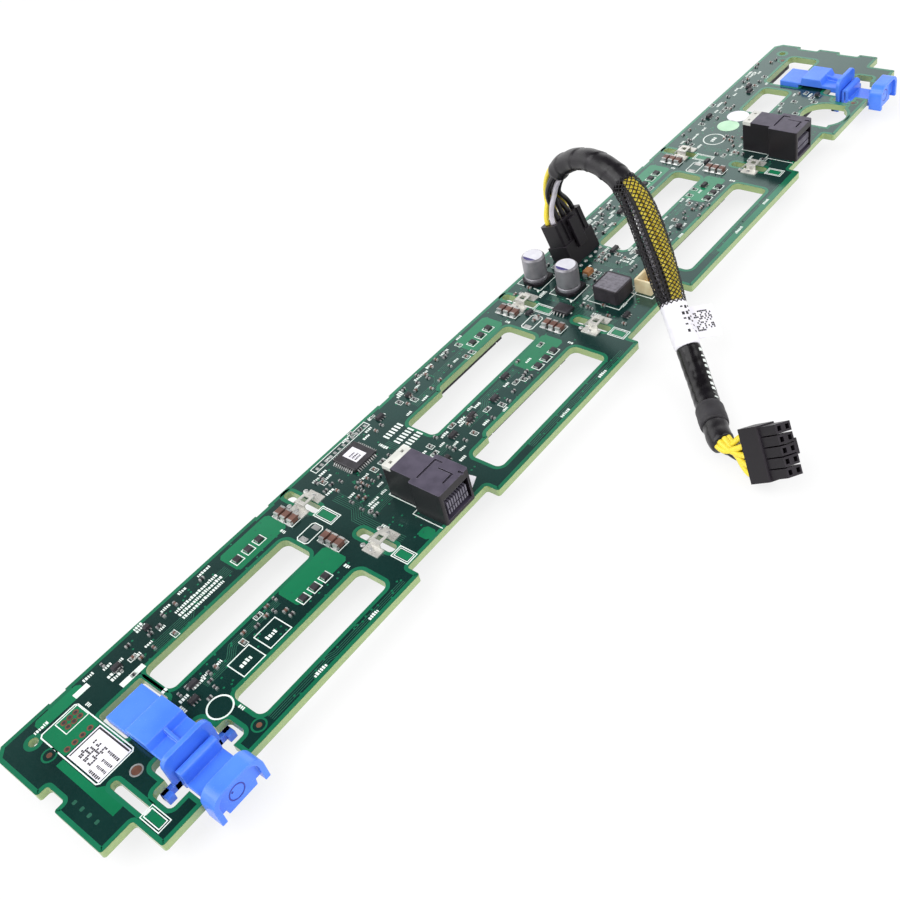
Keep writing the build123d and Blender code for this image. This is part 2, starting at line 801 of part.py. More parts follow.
def make_end_plug():
    """The far-end connector: a block with five pairs of square fingers and a latch arm."""
    frame, heading = end_plug_frame()
    body = Pos(end_plug_block / 2, 0, 0) * Box(end_plug_block, end_plug_width, end_plug_height)
    body = chamfer(body.edges().filter_by(Axis.Y), end_plug_step)
    reach = end_plug_block + end_plug_fingers
    middle = end_plug_block + end_plug_fingers / 2
    for column in range(finger_columns):
        y = (column - (finger_columns - 1) / 2) * finger_pitch
        body += Pos(middle, y, 0) * Box(end_plug_fingers, finger_size, finger_size)
        for side in (-1, 1):
            z = side * finger_pitch / 2
            body += Pos(middle, y, z) * Box(end_plug_fingers, finger_size, finger_size)
            body -= Pos(reach - finger_bore_depth / 2, y, z) * Box(
                finger_bore_depth, finger_bore, finger_bore)
    under = -end_plug_height / 2 - end_latch_gap - end_latch_thickness / 2
    body += Pos(end_latch_root + end_latch_length / 2, 0, under) * Box(
        end_latch_length, end_latch_width, end_latch_thickness)
    body += Pos(end_latch_root + 2.0, 0, -end_plug_height / 2 - end_latch_gap / 2) * Box(
        2.0, end_latch_width, end_latch_gap)
    return frame * body


latch_centres = (latch_inset, board_length - latch_inset)

parts = {"board": make_board()}
for column in range(column_count):
    for row, level in enumerate(("low", "high")):
        parts[f"drive_receptacle_{level}_{column + 1}"] = make_receptacle(column, row)
for name, centre in zip(("left", "right"), latch_centres):
    parts[f"latch_{name}"] = make_latch(centre)
for index, name in enumerate(("near", "far")):
    parts[f"storage_port_{name}"] = make_port(index)
    parts[f"port_rear_cap_{name}"] = make_port_block(index)
    parts[f"port_insert_{name}"] = make_port_insert(index)
for index in range(len(can_places)):
    parts[f"capacitor_can_{index + 1}"] = make_can(index)
    parts[f"capacitor_base_{index + 1}"] = make_can_base(index)
for column in range(column_count - 1):
    for row, level in enumerate(("low", "high")):
        parts[f"ground_clip_{level}_{column + 1}"] = make_clip(column, row)
parts["cable_header"] = make_header()
parts["cable_plug"] = make_cable_plug()
parts["power_inductor"] = make_inductor()
parts["option_header"] = make_option_header()
parts["option_header_pins"] = make_option_pins()
parts["controller_chip"] = chip_body(controller_place, controller_size, controller_size,
                                     controller_height)
parts["controller_legs"] = leg_row(controller_place, controller_size, controller_size,
                                   controller_height, controller_leg_count,
                                   controller_leg_pitch, (0, 90, 180, 270))
parts["driver_chip"] = chip_body(driver_place, driver_length, driver_width, driver_height)
parts["driver_legs"] = leg_row(driver_place, driver_length, driver_width, driver_height,
                               driver_leg_count, driver_leg_pitch, (0, 180))
parts["ceramic_capacitors"] = make_ceramics()
parts["framed_parts"] = make_small_parts()
exit_point, exit_way = plug_axis_top()
route = [exit_point, exit_point + exit_way * cable_exit_run]
route += [Vector(*point) for point in cable_route]
cable_way = (route[-1] - route[-2]).normalized()
end_point = Vector(*end_plug_place)
tail = [route[-1], route[-1] + cable_way * tail_first_run,
        end_point - end_plug_frame()[1] * tail_last_run, end_point]
parts["cable"] = make_tube(route, cable_diameter, "cable")
parts["cable_tail"] = make_tube(tail, tail_diameter, "cable tail")
parts["end_connector"] = make_end_plug()

os.makedirs("parts", exist_ok=True)
for name, shape in parts.items():
    export_step(shape, f"parts/{name}.step")
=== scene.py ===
"""Dressed model of a two-row drive backplane board with its latches, ports and power cable."""
import logging
import math
from dataclasses import dataclass, field
from enum import Enum

import bmesh
import bpy
import numpy as np
from mathutils import Matrix, Vector


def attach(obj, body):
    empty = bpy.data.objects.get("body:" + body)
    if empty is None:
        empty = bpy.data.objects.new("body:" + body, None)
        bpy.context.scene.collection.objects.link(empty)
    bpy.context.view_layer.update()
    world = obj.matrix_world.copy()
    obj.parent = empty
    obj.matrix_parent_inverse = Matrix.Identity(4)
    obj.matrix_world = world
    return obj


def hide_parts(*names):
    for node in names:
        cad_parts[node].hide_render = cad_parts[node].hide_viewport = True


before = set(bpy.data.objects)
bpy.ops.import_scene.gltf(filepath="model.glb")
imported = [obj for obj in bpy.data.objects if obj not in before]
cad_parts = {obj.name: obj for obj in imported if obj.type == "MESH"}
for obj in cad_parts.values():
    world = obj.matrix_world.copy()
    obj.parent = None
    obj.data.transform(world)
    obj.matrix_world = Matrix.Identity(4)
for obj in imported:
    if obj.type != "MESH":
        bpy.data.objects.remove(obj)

log = logging.getLogger("backplane")
MM = 0.001
BOARD_TOP = 9.4
BOARD_SHIFT = np.array([-208.5, -8.9, BOARD_TOP])
COLUMN_PITCH = 105.0
BAYS = (0.0, COLUMN_PITCH, 2 * COLUMN_PITCH)
BODY = "root"
Shape = tuple[np.ndarray, list]
Tree = bpy.types.NodeTree
Socket = bpy.types.NodeSocket


class Slot(Enum):
    """The record's material slots."""

    SOLDER_MASK = "solder_mask"
    BLUE = "blue_moulding"
    BLACK = "black_moulding"
    WHITE = "white_moulding"
    CONTACT = "contact_metal"
    CAN = "can_metal"
    TIN = "tin"
    CERAMIC = "ceramic_body"
    FERRITE = "ferrite"
    SLEEVE = "cable_sleeve"
    YELLOW = "wire_yellow"


def feed(tree: Tree, node: bpy.types.Node, values: dict) -> None:
    """Sets a node's inputs.

    Args:
        tree: The node tree that the node is in.
        node: The node.
        values: Input names or numbers, each with its constant or with the output that feeds it.
    """
    for key, value in values.items():
        if isinstance(value, Socket):
            tree.links.new(value, node.inputs[key])
        else:
            node.inputs[key].default_value = value


def add_node(tree: Tree, kind: str, values: dict | None = None,
             **settings: object) -> bpy.types.Node:
    """Adds a shader node.

    Args:
        tree: The node tree that it goes into.
        kind: Its type, without the ShaderNode that types start with.
        values: Its inputs, as feed takes them.
        settings: Its attributes, such as its operation.

    Returns:
        The node.
    """
    node = tree.nodes.new("ShaderNode" + kind)
    for name, value in settings.items():
        setattr(node, name, value)
    feed(tree, node, values or {})
    return node


def blend(tree: Tree, factor: Socket, first: object, second: object) -> Socket:
    """Mixes two colours, each a constant or a socket, and gives the socket of the mix."""
    values = {"Factor": factor, "A": first, "B": second}
    return add_node(tree, "Mix", values, data_type="RGBA").outputs["Result"]


class ShaderGroups:
    """The shader node groups that more than one finish uses, each made once."""

    def __init__(self) -> None:
        """Makes the groups."""
        self.mottle = self._mottle()
        self.grain = self._grain()
        self.edges = self._edges()

    @staticmethod
    def _start(name: str, inputs: dict, outputs: dict) -> tuple:
        """Makes an empty group.

        Args:
            name: The group's name.
            inputs: Input names with their default numbers or colours.
            outputs: Output names with their kinds of socket.

        Returns:
            The group's node tree, the sockets that it is given and the sockets that it puts out.
        """
        tree = bpy.data.node_groups.new(name, "ShaderNodeTree")
        for label, default in inputs.items():
            kind = "NodeSocketColor" if isinstance(default, tuple) else "NodeSocketFloat"
            socket = tree.interface.new_socket(label, in_out="INPUT", socket_type=kind)
            socket.default_value = default
        for label, kind in outputs.items():
            tree.interface.new_socket(label, in_out="OUTPUT", socket_type="NodeSocket" + kind)
        return tree, tree.nodes.new("NodeGroupInput").outputs, tree.nodes.new("NodeGroupOutput").inputs

    @staticmethod
    def _noise(tree: Tree, scale: Socket, detail: float) -> Socket:
        """Adds a noise texture on object coordinates and gives the socket of its value."""
        place = add_node(tree, "TexCoord").outputs["Object"]
        return add_node(tree, "TexNoise", {"Vector": place, "Scale": scale, "Detail": detail}).outputs["Fac"]

    def _mottle(self) -> Tree:
        """A colour that drifts between two tones with a noise."""
        inputs = {"Tone A": (1, 1, 1, 1), "Tone B": (0, 0, 0, 1), "Scale": 200.0}
        tree, given, out = self._start("mottle", inputs, {"Color": "Color"})
        noise = self._noise(tree, given["Scale"], 4.0)
        drift = add_node(tree, "MapRange", {"Value": noise, "From Min": 0.35, "From Max": 0.65})
        tree.links.new(blend(tree, drift.outputs["Result"], given["Tone A"], given["Tone B"]), out["Color"])
        return tree

    def _grain(self) -> Tree:
        """A number that varies between two limits, for roughness and for bump height."""
        inputs = {"Scale": 1500.0, "Low": 0.3, "High": 0.5}
        tree, given, out = self._start("grain", inputs, {"Value": "Float"})
        noise = self._noise(tree, given["Scale"], 6.0)
        spread = add_node(tree, "MapRange", {"Value": noise, "From Min": 0.3, "From Max": 0.7,
                                             "To Min": given["Low"], "To Max": given["High"]})
        tree.links.new(spread.outputs["Result"], out["Value"])
        return tree

    def _edges(self) -> Tree:
        """A rounded normal near edges, and a mask that is 1 on an edge and 0 on a flat face, for a painted
        highlight along edges.

        The mask is the gain x (1 - the rounded normal times the true one), held to 1.
        """
        inputs = {"Radius": 0.0003, "Gain": 3.0}
        tree, given, out = self._start("edge_round_and_highlight", inputs, {"Mask": "Float", "Normal": "Vector"})
        bevel = add_node(tree, "Bevel", {"Radius": given["Radius"]}, samples=6).outputs["Normal"]
        flat = add_node(tree, "NewGeometry").outputs["Normal"]
        dot = add_node(tree, "VectorMath", {0: bevel, 1: flat}, operation="DOT_PRODUCT")
        less = add_node(tree, "Math", {0: 1.0, 1: dot.outputs["Value"]}, operation="SUBTRACT")
        mask = add_node(tree, "Math", {0: less.outputs[0], 1: given["Gain"]}, operation="MULTIPLY",
                        use_clamp=True)
        tree.links.new(mask.outputs[0], out["Mask"])
        tree.links.new(bevel, out["Normal"])
        return tree


GROUPS = ShaderGroups()


def srgb(colour: tuple[int, int, int]) -> tuple[float, float, float, float]:
    """Turns an sRGB colour into a linear one.

    Args:
        colour: Red, green and blue, from 0 to 255.

    Returns:
        The linear colour with alpha, from 0 to 1.
    """
    values = np.array(colour) / 255
    linear = np.where(values <= 0.04045, values / 12.92, ((values + 0.055) / 1.055) ** 2.4)
    return (*(float(v) for v in linear), 1.0)


@dataclass(frozen=True)
class Finish:
    """A procedural finish: two drifting tones, a rough grain, softened edges and a painted highlight along
    edges.

    Tones are sRGB from 0 to 255, and the edge's softness and the grain's depth are millimetres.
    """

    name: str
    tone: tuple
    drift: tuple
    rough: tuple[float, float] = (0.35, 0.5)
    metallic: float = 0.0
    scale: float = 300.0
    grain_scale: float = 2500.0
    grain_depth: float = 0.05
    bump: float = 0.08
    edge: float = 0.25
    painted_edge_highlight: tuple | None = None
    specular: float = 0.5
    sheen: tuple = (1.0, 1.0, 1.0, 1.0)

    def material(self) -> bpy.types.Material:
        """Gives the finish's material, which is made when it is first asked for."""
        made = bpy.data.materials.get(self.name)
        if made:
            return made
        made = bpy.data.materials.new(self.name)
        made.use_nodes = True
        tree = made.node_tree
        colour = self._colour(tree)
        grain = add_node(tree, "Group", {"Scale": self.grain_scale, "Low": self.rough[0],
                                         "High": self.rough[1]}, node_tree=GROUPS.grain)
        height = grain.outputs["Value"]
        bump = add_node(tree, "Bump", {"Strength": self.bump, "Distance": self.grain_depth * MM,
                                       "Height": height})
        if self.edge:
            edges = add_node(tree, "Group", {"Radius": self.edge * MM}, node_tree=GROUPS.edges)
            tree.links.new(edges.outputs["Normal"], bump.inputs["Normal"])
            # A lighter tone along every edge is a painted highlight.
            if self.painted_edge_highlight:
                colour = blend(tree, edges.outputs["Mask"], colour, srgb(self.painted_edge_highlight))
        feed(tree, tree.nodes["Principled BSDF"],
             {"Base Color": colour, "Roughness": height, "Normal": bump.outputs["Normal"],
              "Metallic": self.metallic, "Specular IOR Level": self.specular,
              "Specular Tint": self.sheen})
        return made

    def _colour(self, tree: Tree) -> Socket:
        """Adds the colour nodes.

        Args:
            tree: The material's node tree.

        Returns:
            The socket that holds the colour.
        """
        values = {"Tone A": srgb(self.tone), "Tone B": srgb(self.drift), "Scale": self.scale}
        return add_node(tree, "Group", values, node_tree=GROUPS.mottle).outputs["Color"]


@dataclass(frozen=True)
class LevelFinish(Finish):
    """A finish with one pair of tones on level faces and another, in fine layers, on the sides: the
    laminate's edge on the board, and on the black mouldings darker sides that are painted shade.
    """

    side: tuple = (128, 128, 128)
    side_drift: tuple = (110, 110, 110)
    side_scale: float = 900.0
    side_ripple: float = 3.0
    level: float = 0.5

    def _colour(self, tree: Tree) -> Socket:
        """Mixes the two pairs of tones by how level the face is.

        A face is level where its normal's upright share is over a half. The sides' tone follows
        thin layers in height, disturbed by noise.

        Args:
            tree: The material's node tree.

        Returns:
            The socket that holds the colour.
        """
        coords = add_node(tree, "TexCoord").outputs
        split = add_node(tree, "SeparateXYZ", {"Vector": coords["Normal"]})
        upright = add_node(tree, "Math", {0: split.outputs["Z"]}, operation="ABSOLUTE")
        level = add_node(tree, "Math", {0: upright.outputs[0], 1: self.level}, operation="GREATER_THAN")
        layers = add_node(tree, "TexWave", {"Vector": coords["Object"], "Scale": self.side_scale,
                                            "Distortion": self.side_ripple}, bands_direction="Z")
        side = blend(tree, layers.outputs["Fac"], srgb(self.side), srgb(self.side_drift))
        return blend(tree, level.outputs[0], side, super()._colour(tree))


TEAL_SHEEN = (0.66, 1.0, 0.92, 1.0)


@dataclass(frozen=True)
class MaskedCopper(Finish):
    """Copper seen through the glossy solder mask: flat, with a teal sheen."""

    rough: tuple[float, float] = (0.14, 0.2)
    bump: float = 0.004
    edge: float = 0.0
    specular: float = 1.0
    sheen: tuple = TEAL_SHEEN


MASK = LevelFinish("solder_mask_board", (7, 37, 35), (11, 45, 42), (0.13, 0.19), scale=60,
                   bump=0.004, edge=0.12, specular=1.0, sheen=TEAL_SHEEN, side=(182, 196, 134),
                   side_drift=(116, 138, 78))
COPPER_UNDER = MaskedCopper("copper_under_mask", (16, 98, 68), (22, 110, 78), scale=50)
POUR = MaskedCopper("copper_pour", (10, 106, 68), (16, 118, 78), scale=40)
TRACE = MaskedCopper("trace_green", (34, 82, 66), (46, 96, 78), scale=120)
# Its lighter edge tone is a painted highlight.
BLUE = Finish("latch_blue", (66, 120, 238), (80, 134, 246), (0.2, 0.28), scale=80, bump=0.02,
              edge=0.4, painted_edge_highlight=(126, 168, 250))
# The mould ring's darker blue is painted shade.
MOULD_RING_SHADE = Finish("mould_ring_painted_shade", (30, 44, 150), (40, 56, 170), edge=0)
# Its darker sides are painted shade, and its lighter edge tone a painted highlight.
BLACK = LevelFinish("connector_black", (32, 27, 33), (42, 37, 44), (0.36, 0.48), bump=0.06,
                    edge=0.18, painted_edge_highlight=(66, 60, 70), specular=0.3, side=(18, 15, 19),
                    side_drift=(28, 24, 30))
# Its darker sides are painted shade against lighter tops, and its lighter edge tone a painted highlight.
PORT = LevelFinish("port_black", (66, 61, 76), (80, 74, 90), (0.3, 0.42), bump=0.06, edge=0.18,
                   painted_edge_highlight=(120, 114, 134), specular=0.35, side=(18, 14, 18), side_drift=(34, 28, 34))
INSERT = Finish("insert_grey", (112, 108, 122), (90, 86, 100), (0.36, 0.5), edge=0.08)
WHITE = Finish("rear_cap_white", (214, 214, 208), (196, 196, 190), edge=0.1)
CREAM = Finish("header_cream", (226, 214, 178), (208, 190, 150), edge=0.12)
GOLD = Finish("contact_gold", (232, 194, 110), (206, 160, 80), (0.18, 0.3), metallic=1, edge=0.05)
CAN_METAL = Finish("can_aluminium", (150, 148, 154), (134, 132, 138), (0.34, 0.4), metallic=0.45,
                   bump=0.0, edge=0.4)
CAN_TOP = Finish("can_top_lilac", (224, 224, 230), (212, 211, 221), (0.3, 0.4), edge=0)
CAN_MARK = Finish("can_mark_violet", (62, 52, 128), (50, 42, 108), (0.3, 0.4), edge=0)
# Its near-white edge tone is a painted highlight.
CLIP_METAL = Finish("clip_steel", (222, 220, 214), (196, 194, 188), (0.26, 0.32), metallic=0.5,
                    bump=0.0, edge=0.1, painted_edge_highlight=(250, 250, 246))
TIN = Finish("tin_solder", (206, 206, 204), (160, 162, 162), (0.26, 0.4), metallic=0.7, bump=0.02,
             edge=0.05)
BARE_COPPER = Finish("bare_copper", (132, 88, 70), (104, 68, 54), (0.3, 0.42), metallic=0.4,
                     bump=0.01, edge=0)
CERAMIC = Finish("ceramic_brown", (116, 80, 68), (92, 62, 54), edge=0.12)
TAN = Finish("capacitor_tan", (176, 122, 74), (150, 100, 60), edge=0.15)
FERRITE = Finish("inductor_grey", (40, 36, 41), (56, 51, 57), (0.4, 0.6), bump=0.1, edge=0.2,
                 specular=0.3)
INDUCTOR_TOP = Finish("inductor_top_grey", (128, 125, 134), (104, 101, 110), (0.4, 0.55), scale=700,
                      bump=0.1, edge=0)
CHIP = Finish("chip_black", (34, 32, 36), (50, 48, 54), (0.32, 0.5), edge=0.1)
SILK = Finish("silkscreen_white", (232, 238, 234), (214, 224, 218), (0.5, 0.6), edge=0)
PAPER = Finish("sticker_paper", (236, 234, 240), (226, 224, 232), (0.5, 0.62), edge=0)
PALE_GREEN = Finish("sticker_pale_green", (190, 226, 196), (176, 216, 184), edge=0)
INK = Finish("printed_black", (28, 26, 30), (40, 38, 42), (0.5, 0.6), edge=0)
TAPE = Finish("wrap_tape", (20, 18, 22), (32, 29, 34), (0.26, 0.38), bump=0.15, grain_scale=900,
              edge=0, specular=0.4)
BRAID = Finish("braid_dark", (26, 22, 30), (18, 15, 21), (0.3, 0.45), edge=0, specular=0.35)
SHRINK = Finish("shrink_tube", (14, 12, 15), (22, 20, 24), (0.2, 0.3), bump=0.06, grain_scale=600,
                edge=0, specular=0.35)
CUFF = Finish("rubber_cuff", (32, 30, 34), (44, 42, 47), (0.5, 0.65), bump=0.3, grain_scale=1200,
              edge=0)
YELLOW = Finish("wire_yellow", (240, 206, 30), (224, 182, 14), (0.28, 0.4), scale=150, edge=0)
WIRE_BLACK = Finish("wire_black", (20, 18, 22), (30, 27, 32), (0.26, 0.36), edge=0, specular=0.4)
WIRE_GREY = Finish("wire_grey", (206, 202, 210), (184, 180, 190), (0.3, 0.42), edge=0)

NODE_FINISHES = {
    "board": MASK, "latch_": BLUE, "drive_receptacle_": BLACK, "storage_port_": PORT,
    "port_rear_cap_": WHITE, "port_insert_": INSERT, "capacitor_can_": CAN_METAL,
    "capacitor_base_": BLACK, "ground_clip_": CLIP_METAL, "cable_header": BLACK,
    "cable_plug": BLACK, "power_inductor": FERRITE, "option_header_pins": GOLD,
    "option_header": CREAM, "controller_chip": CHIP, "driver_chip": CHIP,
    "controller_legs": TIN, "driver_legs": TIN, "ceramic_capacitors": CERAMIC,
    "framed_parts": CHIP, "end_connector": BLACK,
}


def dress_nodes() -> None:
    """Gives each CAD node the finish whose key is the longest start of its name."""
    for name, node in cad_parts.items():
        keys = [key for key in NODE_FINISHES if name.startswith(key)]
        if not keys:
            continue
        finish = NODE_FINISHES[max(keys, key=len)]
        node.data.materials.clear()
        node.data.materials.append(finish.material())
        log.info("dressed %s with %s", name, finish.name)


def add_piece(name: str, points: np.ndarray, faces: list, finish: Finish,
              smooth: bool = False) -> bpy.types.Object:
    """Makes one piece of the model and lets it ride on the body.

    Args:
        name: The piece's name.
        points: Vertices in millimetres in the part's frame, one row each.
        faces: Rows of vertex numbers.
        finish: The finish it wears.
        smooth: Whether its faces are shaded smooth.

    Returns:
        The piece's object.
    """
    mesh = bpy.data.meshes.new(name)
    mesh.from_pydata((np.asarray(points) * MM).tolist(), [], [list(map(int, f)) for f in faces])
    mesh.validate()
    work = bmesh.new()
    work.from_mesh(mesh)
    bmesh.ops.recalc_face_normals(work, faces=work.faces)
    work.to_mesh(mesh)
    work.free()
    mesh.polygons.foreach_set("use_smooth", [smooth] * len(mesh.polygons))
    mesh.materials.append(finish.material())
    piece = bpy.data.objects.new(name, mesh)
    bpy.context.scene.collection.objects.link(piece)
    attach(piece, BODY)
    log.info("piece %s: %d faces", name, len(mesh.polygons))
    return piece


class Fragments:
    """Meshes gathered into one piece."""

    def __init__(self) -> None:
        """Starts empty."""
        self.points: list[np.ndarray] = []
        self.faces: list = []
        self.count = 0

    def add(self, shape: Shape, turn: np.ndarray | None = None, place: np.ndarray | float = 0.0) -> None:
        """Adds one mesh, with its face numbers moved on.

        Args:
            shape: Its vertices and faces.
            turn: Three rows, the directions of its own x, y and z, if it isn't square to the part.
            place: Where its own origin goes.
        """
        points, faces = shape
        self.points.append((points if turn is None else points @ turn) + place)
        self.faces.extend([[int(i) + self.count for i in face] for face in faces])
        self.count += len(points)

    def piece(self, name: str, finish: Finish, slot: Slot, smooth: bool = False) -> bpy.types.Object:
        """Makes the gathered meshes one piece of the model."""
        return add_piece(name, np.vstack(self.points), self.faces, finish, smooth)


def unit(rows: np.ndarray) -> np.ndarray:
    """Each row over its length."""
    return rows / np.linalg.norm(rows, axis=-1, keepdims=True)


def joined_rings(count: int, sides: int) -> list:
    """Faces between rings of points that are set one after the other.

    Args:
        count: How many rings there are.
        sides: How many points a ring has.

    Returns:
        Faces of four points, two of a ring and two of the following one.
    """
    index = np.arange(count * sides).reshape(count, sides)
    turned = np.roll(index, -1, axis=1)
    return np.stack([index[:-1], turned[:-1], turned[1:], index[1:]], -1).reshape(-1, 4).tolist()


def tube_grid(line: np.ndarray, side: np.ndarray, up: np.ndarray, radius: np.ndarray | float,
              sides: int) -> Shape:
    """A closed tube on a grid: centre + radius x (cos t x side + sin t x up), with flat ends.

    Args:
        line: Centre points, one row each.
        side: Vectors across the line at each point.
        up: Vectors square to the line and to side.
        radius: One radius, or one for each point and angle.
        sides: How many points go round.

    Returns:
        The vertices and the faces.
    """
    count = len(line)
    turn = np.linspace(0, 2 * np.pi, sides, endpoint=False)
    reach = np.broadcast_to(radius, (count, sides))[..., None]
    rings = (line[:, None] + reach * (np.cos(turn)[:, None] * side[:, None]
                                      + np.sin(turn)[:, None] * up[:, None]))
    ends = [[base + i, middle, base + (i + 1) % sides] for base, middle in
            ((0, count * sides), ((count - 1) * sides, count * sides + 1)) for i in range(sides)]
    return np.vstack([rings.reshape(-1, 3), line[:1], line[-1:]]), joined_rings(count, sides) + ends


def circle(x: float, y: float, radius: float, sides: int = 24) -> np.ndarray:
    """Points round a circle: centre + radius x (cos t, sin t)."""
    turn = np.linspace(0, 2 * np.pi, sides, endpoint=False)
    return np.column_stack([x + radius * np.cos(turn), y + radius * np.sin(turn)])


def rectangle(x0: float, x1: float, y0: float, y1: float, cut: float = 0.0) -> np.ndarray:
    """A rectangle's corners, each cut off at a slant if asked."""
    if not cut:
        return np.array([(x0, y0), (x1, y0), (x1, y1), (x0, y1)], float)
    return np.array([(x0 + cut, y0), (x1 - cut, y0), (x1, y0 + cut), (x1, y1 - cut),
                     (x1 - cut, y1), (x0 + cut, y1), (x0, y1 - cut), (x0, y0 + cut)], float)


def prism(outline: np.ndarray, low: float, high: float, inset: float = 0.0) -> Shape:
    """A closed slab on an outline.

    Args:
        outline: Flat points, one row each.
        low, high: The heights of its foot and its top.
        inset: How far a rectangle's top is drawn in towards its middle, along x and along y.

    Returns:
        The vertices and the faces.
    """
    count = len(outline)
    top = outline - inset * np.sign(outline - outline.mean(axis=0)) if inset else outline
    points = np.vstack([np.column_stack([line, np.full(count, z)])
                        for line, z in ((outline, low), (top, high))])
    return points, joined_rings(2, count) + [list(range(count))[::-1], list(range(count, 2 * count))]


def block(x: float, y: float, half_x: float, half_y: float, low: float, high: float,
          inset: float = 0.0) -> Shape:
    """A closed block about a middle, between two heights, with its top drawn in by an inset."""
    return prism(rectangle(x - half_x, x + half_x, y - half_y, y + half_y), low, high, inset)


def ring(outer: np.ndarray, inner: np.ndarray, low: float, high: float) -> Shape:
    """A closed slab between two outlines with equally many points.

    Args:
        outer, inner: The outlines' points.
        low, high: The heights of its foot and its top.

    Returns:
        The vertices and the faces: the section's four corners are carried round the outlines.
    """
    count = len(outer)
    rails = np.stack([np.column_stack([line, np.full(count, z)])
                      for line, z in ((outer, low), (outer, high), (inner, high), (inner, low))], 1)
    closing = [[4 * (count - 1) + i, 4 * (count - 1) + (i + 1) % 4, (i + 1) % 4, i] for i in range(4)]
    return rails.reshape(-1, 3), joined_rings(count, 4) + closing


def shifted(line: np.ndarray, reach: float, closed: bool = False) -> np.ndarray:
    """Moves a flat line to its left, with mitred corners.

    Each point moves along the sum of its two edges' left normals, by reach over the cosine of
    half the turn, which is held to 1.6 times the reach.

    Args:
        line: Flat points, one row each.
        reach: How far to the left.
        closed: Whether the line ends where it starts.

    Returns:
        The moved points.
    """
    if closed:
        before, after = line - np.roll(line, 1, axis=0), np.roll(line, -1, axis=0) - line
    else:
        step = np.diff(line, axis=0)
        before, after = np.vstack([step[:1], step]), np.vstack([step, step[-1:]])
    left = [unit(np.column_stack([-d[:, 1], d[:, 0]])) for d in (before, after)]
    middle = left[0] + left[1]
    middle /= np.maximum(np.linalg.norm(middle, axis=1, keepdims=True), 1e-6)
    cosine = np.maximum((middle * left[0]).sum(axis=1, keepdims=True), 1 / 1.6)
    return line + middle * reach / cosine


def strip(line: np.ndarray, width: float) -> np.ndarray:
    """The outline of a strip of even width along a flat open line."""
    return np.vstack([shifted(line, width / 2), shifted(line, -width / 2)[::-1]])


def dome(x: float, y: float, z: float, radius: float, height: float, sides: int = 10) -> Shape:
    """A low solder dome: radius x cos t and height x sin t for t from the rim to the top.

    Args:
        x, y, z: The middle of its rim.
        radius, height: The rim's radius and the top's height over the rim.
        sides: How many points go round.

    Returns:
        The vertices and the faces.
    """
    rows = [np.column_stack([circle(x, y, radius * math.cos(t), sides),
                             np.full(sides, z + height * math.sin(t))])
            for t in (0.0, 0.5, 1.0)]
    top = 3 * sides
    crown = [[top - sides + i, top - sides + (i + 1) % sides, top] for i in range(sides)]
    return (np.vstack([*rows, [(x, y, z + height)]]),
            [list(range(sides))[::-1], *joined_rings(3, sides), *crown])


@dataclass(frozen=True)
class Layer:
    """One layer on the board: its finish, its material slot and its sheets' height in millimetres."""

    finish: Finish
    slot: Slot
    height: float = 0.0


LAYERS = {
    "edge_bands": Layer(COPPER_UNDER, Slot.SOLDER_MASK, 0.018),
    "copper_pours": Layer(POUR, Slot.SOLDER_MASK, 0.012), "traces": Layer(TRACE, Slot.SOLDER_MASK, 0.014),
    "silkscreen": Layer(SILK, Slot.WHITE, 0.035), "solder_pads": Layer(TIN, Slot.TIN, 0.05),
    "fiducials": Layer(BARE_COPPER, Slot.CONTACT, 0.04), "small_chips": Layer(CHIP, Slot.BLACK),
    "part_ends": Layer(TIN, Slot.TIN), "small_capacitors": Layer(CERAMIC, Slot.CERAMIC),
    "tan_capacitor": Layer(TAN, Slot.CERAMIC), "stickers": Layer(PAPER, Slot.WHITE, 0.09),
    "green_sticker": Layer(PALE_GREEN, Slot.WHITE, 0.09),
    "printed_marks": Layer(INK, Slot.BLACK, 0.11),
}


